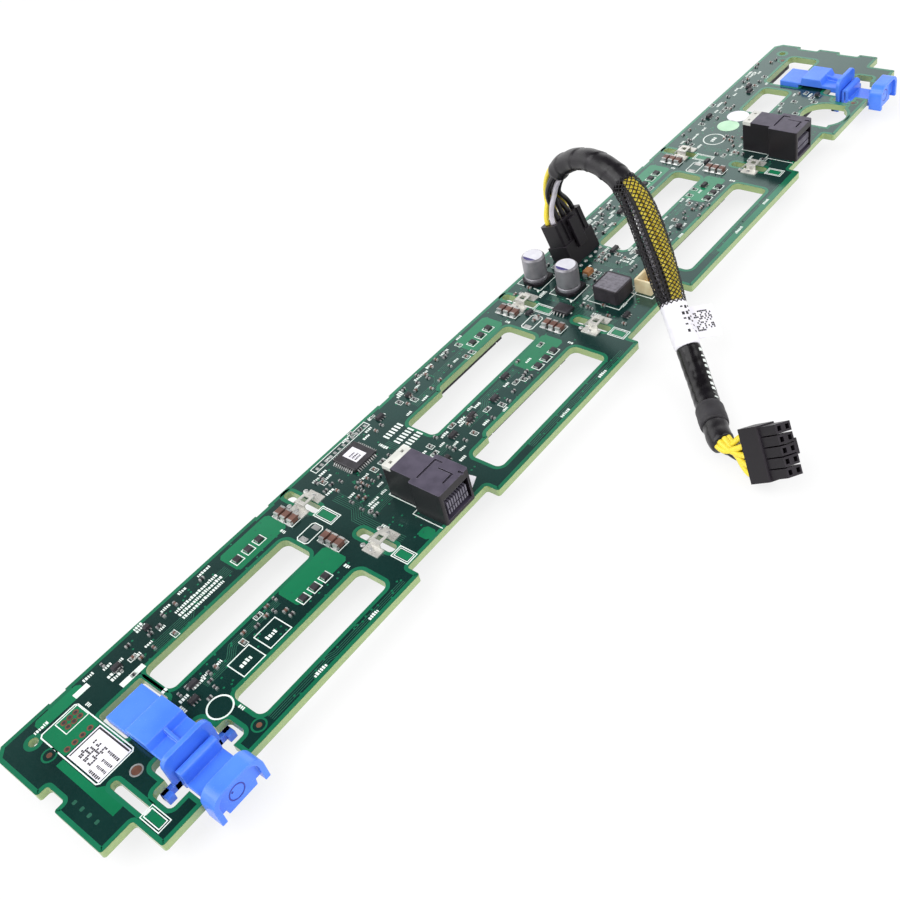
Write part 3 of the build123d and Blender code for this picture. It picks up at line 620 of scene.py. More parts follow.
@dataclass
class BoardTop:
    """What is printed on and soldered to the board's top, in millimetres from its hole frame.

    Places are x0, x1, y0, y1. Groups of marks are x, y, columns, rows and whether they run up.
    """

    band_gap: float = 0.05
    band_width: float = 1.2
    band_height: float = 0.022
    least_step: float = 0.02
    sink: float = -0.02
    leg_pitch: float = 0.95
    via_radius: float = 0.34
    via_height: float = 0.02
    square: float = 0.62
    chip_sticker: float = 1.36
    cad_places: tuple = (
        (26, 44, -20, 26), (119, 133, 23, 37), (118, 132, -13, 11), (324, 337, -13, 11),
        (217, 229, 14, 39), (221, 232, -1, 10), (230, 242, -9, 0), (234, 251, 23, 39),
        (208, 216, 11, 19), (376, 403, -20, 29), (14, 27, 8, 34), (335, 354, 19, 30),
        (323, 334, 19, 30), (136.5, 147, 15, 31), (57.5, 77.5, 28.6, 34.6))
    bay_places: tuple = (
        (96, 102, 8, 36), (100, 110, -6, 13), (100, 110, 24, 38), (78, 91, 3, 8),
        (78, 91, 29.5, 35), (93, 102, 18, 24), (102, 108, 17, 26), (102, 108, -12, -5))

    def __post_init__(self) -> None:
        """Starts with empty layers, its own random numbers and the places that are taken."""
        self.layers = {name: Fragments() for name in LAYERS}
        self.random = np.random.default_rng(11)
        self.loops: list[np.ndarray] = []
        self.taken = [*self.cad_places, *((x0 + bay, x1 + bay, y0, y1) for bay in BAYS
                                          for x0, x1, y0, y1 in self.bay_places)]

    def put(self, layer: str, shape: Shape) -> None:
        """Adds a shape to a layer, moved into the part's frame."""
        self.layers[layer].add(shape, place=BOARD_SHIFT)

    def on_board(self, points: np.ndarray) -> bool:
        """Says whether points lie on the board: a ray from each meets an odd count of edges.

        Args:
            points: Flat points, one row each.

        Returns:
            Whether all of them do.
        """
        spots = points + BOARD_SHIFT[:2]
        x, y = spots[:, :1], spots[:, 1:]
        crossings = np.zeros(len(spots), int)
        for start in self.loops:
            end = np.roll(start, -1, axis=0)
            spans = (start[:, 1] > y) != (end[:, 1] > y)
            rise = np.where(end[:, 1] == start[:, 1], 1e-9, end[:, 1] - start[:, 1])
            meets = start[:, 0] + (y - start[:, 1]) * (end[:, 0] - start[:, 0]) / rise
            crossings += (spans & (meets > x)).sum(axis=1)
        return bool((crossings % 2 == 1).all())

    def free(self, *place: float) -> bool:
        """Takes a place if it is on the board and clear of what is there.

        Args:
            place: Its x0, x1, y0 and y1.

        Returns:
            Whether it was free.
        """
        x0, x1, y0, y1 = place
        if (not self.on_board(rectangle(*place))
                or any(x0 < t[1] and x1 > t[0] and y0 < t[3] and y1 > t[2] for t in self.taken)):
            return False
        self.taken.append(place)
        return True

    def flat(self, layer: str, outline: np.ndarray, height: float | None = None) -> None:
        """Adds a thin sheet, at its layer's height or another, where the board is under all of it."""
        if self.on_board(outline):
            self.put(layer, prism(outline, self.sink, height or LAYERS[layer].height))

    def frame_line(self, x0: float, x1: float, y0: float, y1: float, width: float = 0.3,
                   cut: float = 0.0) -> None:
        """Prints a white frame.

        Args:
            x0, x1, y0, y1: Its place.
            width: The line's width.
            cut: How much its corners are cut.
        """
        outer = rectangle(x0, x1, y0, y1, cut)
        inner = rectangle(x0 + width, x1 - width, y0 + width, y1 - width, cut * 0.8)
        if self.on_board(outer):
            self.put("silkscreen", ring(outer, inner, self.sink, LAYERS["silkscreen"].height))

    def circle_line(self, x: float, y: float, radius: float, width: float,
                    layer: str = "silkscreen") -> None:
        """Adds a ring, at the print's height."""
        outer, inner = circle(x, y, radius, 36), circle(x, y, radius - width, 36)
        self.put(layer, ring(outer, inner, self.sink, LAYERS["silkscreen"].height))

    def marks(self, x: float, y: float, columns: int, rows: int = 1, upright: bool = False,
              layer: str = "silkscreen", height: float | None = None, size: float = 1.1) -> None:
        """Prints rows of small dashes of random width in place of lettering.

        Args:
            x, y: Where the first starts.
            columns, rows: How many dashes a row has, and how many rows there are.
            upright: Whether the rows run across the board.
            layer: The layer they are in.
            height: Their height, if it isn't the layer's own.
            size: The height of a letter.
        """
        for row in range(rows):
            along, off = 0.0, row * size * 1.5
            for _ in range(columns):
                width = size * self.random.uniform(0.25, 0.62)
                tall = size * self.random.uniform(0.7, 1.0)
                place = ((x - off - tall, x - off, y + along, y + along + width) if upright
                         else (x + along, x + along + width, y + off, y + off + tall))
                self.flat(layer, rectangle(*place), height)
                along += width + size * 0.22

    def mark_groups(self, groups: tuple, bay: float = 0.0) -> None:
        """Prints several groups of marks, moved along the board by a bay's place."""
        for x, y, *rest in groups:
            self.marks(x + bay, y, *rest)

    def chip_part(self, x: float, y: float, upright: bool = False, size: float = 1.6,
                  brown: bool = False) -> None:
        """Adds a small two-ended part with its solder, where the board is under it.

        Args:
            x, y: Its middle.
            upright: Whether it runs across the board.
            size: Its length, which its width and height follow.
            brown: Whether it is a brown capacitor and not a black chip.
        """
        if not self.on_board(rectangle(x - size / 2, x + size / 2, y - size / 2, y + size / 2)):
            return
        body, end, way = (size / 2, size / 4), (size * 0.14, size / 4), (size * 0.36, 0.0)
        if upright:
            body, end, way = body[::-1], end[::-1], way[::-1]
        high = size * 0.38
        self.put("small_capacitors" if brown else "small_chips", block(x, y, *body, 0.02, high, 0.05))
        for side in (-1, 1):
            self.put("part_ends", block(x + side * way[0], y + side * way[1], end[0] + 0.04,
                                        end[1] + 0.04, 0.0, high + 0.03, 0.06))

    def small_package(self, x: float, y: float, legs: int) -> None:
        """Adds a small leaded package.

        Args:
            x, y: Its middle.
            legs: How many flat legs it has on each of two sides.
        """
        self.put("small_chips", block(x, y, self.leg_pitch * legs / 2, 0.8, 0.1, 1.05, 0.16))
        for number in range(legs):
            a = x + (number - (legs - 1) / 2) * self.leg_pitch
            for side in (-1, 1):
                self.put("part_ends", block(a, y + side * 1.1, 0.2, 0.36, 0.0, 0.22, 0.04))

    def trace_edges(self) -> None:
        """Finds the loops round the board's top face: its triangles' edges that no two share."""
        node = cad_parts["board"]
        spots = np.array([node.matrix_world @ v.co for v in node.data.vertices]) / MM
        following = {}
        for face in node.data.polygons:
            if face.normal.z > 0.9 and abs(spots[face.vertices[0], 2] - BOARD_TOP) < 0.05:
                for ends in zip(face.vertices, [*face.vertices[1:], face.vertices[0]]):
                    start, end = (tuple(np.round(spots[i, :2], 3)) for i in ends)
                    following.setdefault(start, set()).add(end)
        for start, ends in following.items():
            for end in [e for e in ends if start in following.get(e, ())]:
                following[start].discard(end)
                following[end].discard(start)
        following = {start: next(iter(ends)) for start, ends in following.items() if ends}
        while following:
            start = next(iter(following))
            loop, here = [start], following.pop(start)
            while here != start and here in following:
                loop.append(here)
                here = following.pop(here)
            if len(loop) > 2:
                line = np.array(loop)
                step = np.linalg.norm(np.roll(line, -1, axis=0) - line, axis=1)
                self.loops.append(line[step > self.least_step])

    def edge_bands(self) -> None:
        """Lays a light copper band along every edge of the board's top face."""
        for line in self.loops:
            edge, inner = shifted(line, self.band_gap, True), shifted(line, self.band_width, True)
            band = ring(edge, inner, self.sink, self.band_height)
            self.layers["edge_bands"].add(band, place=np.array([0, 0, BOARD_TOP]))

    def copper(self) -> None:
        """Lays the pours, the trace bundles and the vias."""
        pours = ((77.5, 96.3, 28.6, 37.6), (77.5, 96.3, 4.6, 13.6), (112.0, 116.0, -11.0, -6.5),
                 (181.5, 198.0, 29.0, 37.6), (182.0, 199.0, 5.4, 13.6), (286.5, 303.5, 29.0, 37.6),
                 (287.0, 304.0, 5.4, 13.6), (378.0, 392.0, -9.5, -4.0), (243.0, 247.5, 29.0, 33.0),
                 (16.0, 30.0, 34.5, 38.4))
        corner = ((12.2, -0.5), (15.9, -0.5), (15.9, 7.6), (14.5, 9.0), (14.5, 22.8), (12.4, 22.8))
        sheets = [("copper_pours", rectangle(*place, 1.0)) for place in pours]
        sheets += [("copper_pours", np.array(corner)),
                   ("copper_pours", rectangle(15.2, 25.8, 23.0, 33.2, 0.4))]
        sheets += [("edge_bands", rectangle(*ends, -16.3, -14.1)) for ends in ((156, 232), (262, 318))]
        sheets += [("traces", rectangle(8.6, 9.8, y - 0.5, y + 0.5, 0.2)) for y in (1.6, 4.6, 7.5, 10.5)]
        for layer, outline in sheets:
            self.flat(layer, outline)
        bundles = ((5, -0.55, ((47.5, 9.4), (56, 9.4), (59, 12.2), (75.6, 12.2))),
                   (4, -0.6, ((50, -12.8), (70, -12.8), (72, -13.6), (98, -13.6))),
                   (6, 0.62, ((47.5, 27.6), (60, 27.6), (63, 30.4), (76.5, 30.4))),
                   (9, 0.6, ((133.5, 2.0), (133.5, 9.0), (129, 13.6), (110.5, 13.6))),
                   (6, 0.62, ((110.0, -4.6), (110.0, 12.0), (113.0, 15.0), (113.0, 24.0))),
                   (4, 0.62, ((134.5, 26.0), (134.5, 12.5), (139.5, 7.5), (144.0, 7.5))))
        for count, pitch, points in bundles:
            for bay in BAYS:
                for number in range(count):
                    line = shifted(np.array(points, float) + (bay, 0), number * pitch)
                    self.flat("traces", strip(line, 0.2))
        via_fields = ((48, 96, 0.5, 14.0, 50), (44, 96, 27.0, 38.8, 46), (110, 142, -10, 38, 90),
                      (50, 98, -15.6, -12.6, 22))
        for x0, x1, y0, y1, count in via_fields:
            for bay in BAYS:
                for x, y in self.random.uniform((x0 + bay, y0), (x1 + bay, y1), (count, 2)):
                    self.flat("edge_bands", circle(x, y, self.via_radius, 8), self.via_height)

    def contact_place(self, bay: float) -> None:
        """Adds domes, framed parts' ends, ceramics' ends and frames at a bay's ground clips.

        Args:
            bay: The bay's place along the board.
        """
        for x in (101.6 + bay, 108.4 + bay):
            for y in (33.4, 3.9):
                self.put("solder_pads", dome(x, y, 0.3, 0.85, 0.55))
                self.put("solder_pads", dome(x, y - 3.2, 0.3, 0.7, 0.45))
        for row in (5.5, 32.1):
            for x in (80.0 + bay, 84.2 + bay, 88.3 + bay):
                self.frame_line(x - 1.6, x + 1.6, row - 1.6, row + 1.6, 0.28)
                for side in (-0.82, 0.82):
                    self.put("part_ends", block(x + side, row, 0.25, 0.7, 0.0, 0.5, 0.06))
        for row in (12.7, 31.3):
            for y in (row - 2.7, row, row + 2.7):
                for side in (-1, 1):
                    x = 98.6 + bay + side * 1.42
                    self.put("part_ends", block(x, y, 0.38, 1.0, 0.0, 1.54, 0.08))
                    self.put("solder_pads", block(x + side * 0.5, y, 0.45, 0.95, 0.0, 0.5, 0.3))
            self.frame_line(96.4 + bay, 100.8 + bay, row - 4.3, row + 4.3, 0.25)

    def bay_parts(self, bay: float) -> None:
        """Adds what repeats in each bay. A spot's third value marks a part that runs across.

        Args:
            bay: The bay's place along the board.
        """
        for x0, x1, y0, y1 in ((102.7, 107.0, 17.5, 25.0), (102.7, 107.0, -11.5, -5.2)):
            self.frame_line(x0 + bay, x1 + bay, y0, y1)
            self.frame_line(x0 + bay + 0.6, x1 + bay - 0.6, y0 + 0.6, y1 - 0.6, 0.22)
            self.flat("copper_pours", rectangle(x0 + bay + 1, x1 + bay - 1, y0 + 1, y1 - 1))
        self.frame_line(93.7 + bay, 101.2 + bay, 18.4, 23.0, cut=0.8)
        for x in (94.9 + bay, 99.9 + bay):
            self.flat("solder_pads", rectangle(x - 0.8, x + 0.8, 19.4, 22.0))
        self.contact_place(bay)
        spots = ((50.2, 33.6), (53.0, 33.6), (56.0, 35.4, 1), (60.4, 35.6, 1), (70.0, 35.8),
                 (74.5, 24.2, 1), (77.0, 24.2, 1), (79.5, 24.2, 1), (66.0, 23.4), (69.0, 23.4),
                 (87.5, 17.8), (90.5, 17.8), (112.5, 33.0, 1), (114.6, 33.0, 1), (112.0, 8.5),
                 (112.0, 10.6), (50.5, 9.6, 1), (52.6, 9.6, 1), (74.6, 6.8), (74.6, 4.4))
        for x, y, *upright in spots:
            self.chip_part(x + bay, y, bool(upright), brown=self.random.random() < 0.35)
        self.mark_groups(((56.5, 36.6, 5), (63.0, 37.2, 4), (48.5, 37.2, 5), (70.0, 37.2, 6),
                          (110.5, 26.6, 4), (94.5, 27.4, 3, 1, True), (94.5, 2.0, 3, 1, True),
                          (110.4, 2.0, 4, 1, True), (64.0, -15.2, 6), (84.0, -15.2, 5)), bay)

    def label(self) -> None:
        """Adds the label at the left end: a sticker with a border, squares and rows of dashes."""
        self.frame_line(14.7, 26.3, 9.0, 33.7, 0.35, 0.8)
        self.flat("stickers", rectangle(15.5, 25.5, 9.6, 22.6))
        self.flat("printed_marks", rectangle(24.7, 25.2, 10.0, 22.2))
        self.flat("printed_marks", rectangle(15.9, 24.7, 21.8, 22.2))
        for column in range(9):
            for row in range(9):
                if self.random.random() < 0.42:
                    x, y = 17.0 + column * self.square, 15.2 + row * self.square
                    self.flat("printed_marks", rectangle(x, x + 0.52, y, y + 0.52))
        for x in (16.6, 18.4, 20.2, 22.4):
            self.marks(x, 10.2, 7, 1, True, "printed_marks", size=0.9)

    def left_end(self) -> None:
        """Adds the holes, rings, targets and small parts of the board's left end, and its label."""
        self.label()
        self.frame_line(19.0, 26.0, 27.9, 33.0, 0.25)
        holes = [(x, y) for x in (20.7, 22.5, 24.3) for y in (29.5, 31.4)]
        holes += [(x, 24.2) for x in (16.7, 19.0, 21.3, 23.6)]
        for x, y in holes:
            self.put("fiducials", ring(circle(x, y, 0.85, 16), circle(x, y, 0.46, 16), self.sink, 0.05))
            self.flat("printed_marks", circle(x, y, 0.46, 16), 0.03)
        self.flat("silkscreen", rectangle(26.8, 31.2, 34.6, 36.4))
        self.flat("silkscreen", rectangle(35.6, 43.0, 26.4, 28.2))
        self.circle_line(45.3, -0.3, 3.6, 0.45)
        self.circle_line(328.7, 24.5, 4.3, 0.45)
        for x, y in ((13.2, 26.8), (47.1, -12.6), (398.0, 30.5), (372.5, -12.4)):
            self.put("fiducials", prism(circle(x, y, 0.75, 20), self.sink, LAYERS["fiducials"].height))
            self.circle_line(x, y, 2.1, 0.5, "edge_bands")
        self.put("fiducials", prism(circle(22.7, 4.2, 1.3, 20), self.sink, 0.03))
        self.circle_line(22.7, 4.2, 1.75, 0.4, "solder_pads")
        for place in ((15.4, 19.4, -13.3, -6.2), (16.0, 18.8, -12.7, -6.8)):
            self.frame_line(*place, 0.25)
        self.flat("copper_pours", rectangle(16.4, 18.4, -12.3, -7.2))
        self.mark_groups(((35.2, 30.4, 5, 2), (42.6, 30.8, 4), (28.0, 29.6, 3, 1, True),
                          (14.6, 34.9, 6), (40.2, 6.2, 4, 2, True), (45.4, 9.4, 5), (31.0, 37.0, 5),
                          (48.6, -6.0, 3, 1, True), (40.0, 15.6, 4)))
        for x, y in ((41.2, 22.0), (43.4, 22.0), (45.6, 22.0), (42.0, 11.4), (44.4, 11.4),
                     (39.8, 18.0), (48.6, 18.6), (48.6, 21.2)):
            self.chip_part(x, y, True, 1.4)

    def outlines(self) -> None:
        """Prints the outlines, brackets, stickers and pads that belong to single places."""
        for x0, x1, y0, y1 in ((54.4, 62.1, 0.9, 7.6), (64.0, 71.8, 1.3, 8.1),
                               (220.0, 233.2, -1.9, 10.9), (229.6, 242.2, -8.6, -0.2)):
            self.frame_line(x0, x1, y0, y1)
            self.marks(x0 + 1.6, y0 + 2.6, 4, size=1.5)
        brackets = [[(218.0, y + side * 2.0), (218.0, y + side * 4.9), (227.4, y + side * 4.9),
                     (227.4, y + side * 2.6)] for y in (19.8, 33.5) for side in (-1, 1)]
        for x in (124.8, 330.4):
            brackets += [[(x - 5.0, 0.0), (x - 5.0, 10.6), (x - 2.0, 10.6)],
                         [(x - 7.4, -11.6), (x - 7.4, -0.6), (x - 5.0, -0.6)]]
        for bracket in brackets:
            self.flat("silkscreen", strip(np.array(bracket), 0.3))
        for y in (19.8, 33.5):
            corner = np.array([(216.6, y - 4.8), (218.0, y - 4.8), (218.0, y - 3.2)])
            self.put("silkscreen", prism(corner, self.sink, LAYERS["silkscreen"].height))
        for x in 116.6 + 1.9 * np.arange(12):
            self.flat("solder_pads", rectangle(x, x + 0.9, 36.7, 37.9))
        self.frame_line(115.4, 139.2, 36.2, 38.9, 0.25)
        for x in 137.0 + 1.25 * np.arange(6):
            for y in (18.4, 22.0, 26.4):
                self.flat("silkscreen", rectangle(x, x + 0.65, y, y + 2.4))
        self.flat("stickers", rectangle(124.0, 128.4, 27.2, 33.0), self.chip_sticker)
        self.flat("stickers", np.array([(133.4, -9.2), (137.2, -7.6), (136.4, -2.6), (133.0, -4.0)]), 0.3)
        self.flat("green_sticker", circle(340.0, 24.5, 4.3, 40))
        self.flat("stickers", circle(348.3, 24.6, 4.4, 40))
        self.marks(124.6, 28.0, 5, 3, False, "printed_marks", self.chip_sticker + 0.02, 0.8)
        self.marks(326.9, 23.9, 3, size=1.6)
        self.marks(58.4, 29.4, 20, 3, size=1.15)
        self.mark_groups(((113.4, 12.4, 6), (128.6, -4.0, 5, 2, True), (130.4, 12.0, 4, 2),
                          (134.4, 24.0, 5, 1, True), (214.6, 26.0, 6), (229.6, 24.2, 7),
                          (246.4, 10.0, 5, 2, True), (247.2, 26.0, 4), (236.0, 36.6, 6),
                          (212.4, 11.4, 4, 1, True), (320.0, 12.2, 6), (352.4, 36.0, 6),
                          (376.0, 26.6, 5), (380.0, 36.0, 7, 2), (316.4, 28.4, 5),
                          (391.8, 1.6, 5, 1, True)))

    def single_parts(self) -> None:
        """Adds the parts that stand at places of their own."""
        self.put("tan_capacitor", block(233.1, 19.1, 1.7, 1.3, 0.02, 1.7, 0.2))
        for x in (231.25, 234.95):
            self.put("part_ends", block(x, 19.1, 0.3, 0.9, 0.0, 0.9, 0.08))
        for x in 236.0 + 3.0 * np.arange(5):
            self.put("solder_pads", dome(x, 24.2, 0.0, 0.75, 0.5))
        packages = ((38.5, 33.0, 3), (51.0, 36.2, 2), (43.0, 7.0, 3), (143.0, 35.4, 3),
                    (155.0, 34.0, 2), (147.5, 9.5, 3), (155.0, 9.0, 2), (251.0, 9.5, 3),
                    (270.0, 30.0, 3), (270.0, 5.2, 2), (372.0, 32.6, 3), (374.0, 3.2, 2),
                    (206.0, 24.4, 3), (248.6, 18.6, 4), (312.6, 18.4, 3), (246.6, 30.8, 3))
        for x, y, legs in packages:
            self.small_package(x, y, legs)
            self.marks(x - 2.4, y + 2.2, 4)
        for x in (117.0, 119.2, 121.4, 240.4, 242.6, 244.8, 330.2, 332.4):
            for y in (18.4, 20.8):
                self.chip_part(x, y, True, 1.4, self.random.random() < 0.4)
        for x, y in ((240.6, 6.4), (243.0, 6.4), (251.4, 14.0), (251.4, 16.6), (212.4, 30.0),
                     (212.4, 32.6), (212.4, 35.2), (203.4, 20.6), (205.8, 20.6), (352.4, 30.4),
                     (355.0, 30.4), (362.0, 24.0), (365.0, 24.0), (368.0, 24.0)):
            self.chip_part(x, y, False, 1.5, self.random.random() < 0.4)

    def scatter(self) -> None:
        """Fills the free ground with small parts and marks: a part, its pads and a few dashes."""
        regions = ((40, 50, -1, 14, 16), (36, 50, 27, 37, 14), (111, 119, 10, 37, 30),
                   (132, 145, -2, 16, 60), (118, 136, 11, 23, 110), (112, 145, 30, 38.6, 50),
                   (216, 236, 9, 17, 60), (228, 236, 15, 36, 90), (240, 262, 8, 24, 90),
                   (242, 262, 26, 38, 60), (206, 218, 18, 38, 70), (206, 222, -8, 12, 60),
                   (147, 190, 27.2, 38, 60), (147, 196, 0.6, 13.6, 60), (252, 296, 27.2, 38, 60),
                   (252, 300, 0.6, 13.6, 60), (44, 76, 27.2, 34, 22), (50, 76, 8.8, 13.6, 14),
                   (318, 350, 12, 18, 18), (316, 352, 30, 38, 26), (352, 398, 30, 39, 30),
                   (338, 376, 8, 20, 40), (310, 323, -4, 20, 50), (352, 372, -8, 6, 30))
        for x0, x1, y0, y1, count in regions:
            for _ in range(count):
                x, y = self.random.uniform((x0, y0), (x1, y1))
                kind, upright = self.random.random(), self.random.random() < 0.5
                half = (0.85, 1.3) if upright else (1.3, 0.85)
                place = (x - half[0], x + half[0], y - half[1], y + half[1])
                if kind < 0.62:
                    if self.free(*place):
                        self.chip_part(x, y, upright, 1.5, self.random.random() < 0.3)
                        if kind < 0.2:
                            self.frame_line(*place, 0.2)
                elif kind < 0.68:
                    if self.free(x - 2, x + 2, y - 1.8, y + 1.8):
                        self.small_package(x, y, 3)
                elif self.free(x, x + 2.6, y, y + 1.1):
                    self.marks(x, y, 4, size=1.0)

    def build(self) -> None:
        """Makes every layer a piece."""
        self.trace_edges()
        self.edge_bands()
        self.copper()
        for bay in BAYS:
            self.bay_parts(bay)
        self.left_end()
        self.outlines()
        self.single_parts()
        self.scatter()
        for name, layer in LAYERS.items():
            self.layers[name].piece(name, layer.finish, layer.slot)


@dataclass
class Fittings:
    """Details that lie on CAD nodes: the cans' printed tops and the inductor's plate."""

    can_places: tuple = ((222.7, 33.5), (222.7, 19.8))
    can_top: float = 10.2
    disc_radius: float = 3.35
    segment: tuple = (128, 232)
    first_strip: tuple = (222.79, 4.6)
    strips: int = 7
    strip_pitch: float = 1.26
    strip_half: tuple = (0.59, 4.3)
    inductor_top: tuple = (4.98, 5.05)

    def cans(self) -> None:
        """Puts a printed disc with a dark segment on each can: the segment is x below a chord."""
        discs, segments = Fragments(), Fragments()
        turn = np.radians(np.linspace(*self.segment, 16))
        chord = (self.disc_radius - 0.05) * np.column_stack([np.cos(turn), np.sin(turn)])
        for x, y in self.can_places:
            place = BOARD_SHIFT + (x, y, self.can_top)
            discs.add(prism(circle(0, 0, self.disc_radius, 40), -0.02, 0.04), place=place)
            segments.add(prism(chord, 0.0, 0.06), place=place)
        discs.piece("can_discs", CAN_TOP, Slot.CAN)
        segments.piece("can_polarity_marks", CAN_MARK, Slot.CAN)

    def inductor(self) -> None:
        """Lays a worn grey plate on the inductor, cut into strips by fine grooves."""
        plate = Fragments()
        for x in self.first_strip[0] + self.strip_pitch * np.arange(self.strips):
            plate.add(block(x, self.first_strip[1], *self.strip_half, *self.inductor_top, 0.04),
                      place=BOARD_SHIFT)
        plate.piece("inductor_top", INDUCTOR_TOP, Slot.FERRITE)


def bend(x: float, y: float, radius: float, start: float, end: float, count: int = 9) -> list:
    """Points on an arc about a middle, between two angles in degrees."""
    turn = np.radians(np.linspace(start, end, count))
    return [(x + radius * math.cos(t), y + radius * math.sin(t)) for t in turn]


def arch(half: float, low: float, high: float, radius: float) -> list:
    """An arch seen from the front: upright sides, rounded shoulders and a level top."""
    return [(half, low), *bend(half - radius, high - radius, radius, 0, 90),
            *bend(radius - half, high - radius, radius, 90, 180), (-half, low)]


@dataclass
class Latch:
    """One moulded latch, drawn in its own frame: a along the board, v across it, z up."""

    name: str
    centre: float
    front: float = -16.5
    half: float = 5.7
    flange: tuple = (11.9, 13.4)
    foot: tuple = (-5.5, -3.2)
    ear: float = 10.7
    leaf: float = 1.1
    softness: float = 0.3
    mark_depth: tuple = (-4.16, -4.05)
    shapes: Fragments = field(default_factory=Fragments)

    def __post_init__(self) -> None:
        """Works out where the latch's own frame stands in the part's frame."""
        self.place = BOARD_SHIFT + (self.centre, self.front, 0)

    def side_on(self, profile: list, a0: float, a1: float) -> None:
        """Adds a slab whose outline is given across the board, between two places along it."""
        self.shapes.add(prism(np.array(profile), a0, a1), np.eye(3)[[1, 2, 0]], self.place)

    def face_on(self, profile: list, v0: float, v1: float) -> None:
        """Adds a slab whose outline is seen from the front, between two places across the board."""
        self.shapes.add(prism(np.array(profile), v0, v1), np.eye(3)[[0, 2, 1]], self.place)

    def body(self) -> None:
        """Adds the pad, the shelf with its rib, the flange with its ears, and the folded spring."""
        self.side_on([(38.2, 1.7), (29.3, 1.7), (28.7, 4.1), (20.8, 4.1), (19.7, 2.0), (12.4, 2.0),
                      (12.4, -0.3), (16.2, -0.3), (16.2, 0.8), (30.2, 0.8), (30.2, -0.95),
                      (38.2, -0.95)], -self.half, self.half)
        self.side_on([(20.5, 1.8), (20.5, 4.0), (12.9, 2.15), (12.9, 1.8)], -0.45, 0.45)
        self.face_on(arch(7.3, self.foot[0], 5.7, 2.6), *self.flange)
        self.face_on(rectangle(-self.ear, self.ear, *self.foot).tolist(), *self.flange)
        for middle in (-9.6, 9.6):
            self.shapes.add(block(middle, 11.9, 1.1, 1.5, *self.foot), place=self.place)
        spring = np.array([(12.6, -4.95), (10.95, -4.95), *bend(10.15, 0.5, 0.8, 0, 180, 13),
                           (9.35, -3.05), (-3.0, -3.05)])
        self.side_on(strip(spring, self.leaf).tolist(), -self.half, self.half)

    def cup(self) -> None:
        """Adds the thumb cup: an arched shell, and in it a wall with two notches at its foot."""
        self.face_on(arch(7.5, -4.0, 5.1, 3.8) + arch(6.0, -4.0, 4.1, 3.0)[::-1], -5.6, -0.6)
        notches = [(-4.6, -2.8), (-4.4, -4.7), (4.4, -4.7), (4.6, -2.8)]
        self.face_on(arch(6.1, -2.8, 4.2, 3.0) + notches, -4.1, -2.0)

    def mould_mark(self) -> None:
        """Adds the ring with a dot that the mould leaves on the cup's wall, in a darker blue that is painted
        shade.
        """
        marks = Fragments()
        outer, inner = circle(-0.5, -0.66, 2.35, 32), circle(-0.5, -0.66, 2.0, 32)
        for shape in (ring(outer, inner, *self.mark_depth),
                      prism(circle(-1.5, 0.35, 0.3, 12), *self.mark_depth)):
            marks.add(shape, np.eye(3)[[0, 2, 1]], self.place)
        marks.piece(self.name + "_mould_mark", MOULD_RING_SHADE, Slot.BLUE)

    def build(self) -> None:
        """Makes the latch in place of its plain solid, with softened edges, and its mould mark."""
        self.body()
        self.cup()
        piece = self.shapes.piece(self.name + "_moulding", BLUE, Slot.BLUE, smooth=True)
        bevel = piece.modifiers.new("soft_edges", "BEVEL")
        bevel.width = self.softness * MM
        bevel.segments = 3
        bevel.limit_method = "ANGLE"
        bevel.angle_limit = math.radians(35)
        bevel.harden_normals = True
        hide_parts(self.name)
        self.mould_mark()


def ease(value: np.ndarray) -> np.ndarray:
    """A smooth step from 0 to 1: 3 t squared less 2 t cubed, with t held between 0 and 1."""
    t = np.clip(value, 0, 1)
    return t * t * (3 - 2 * t)


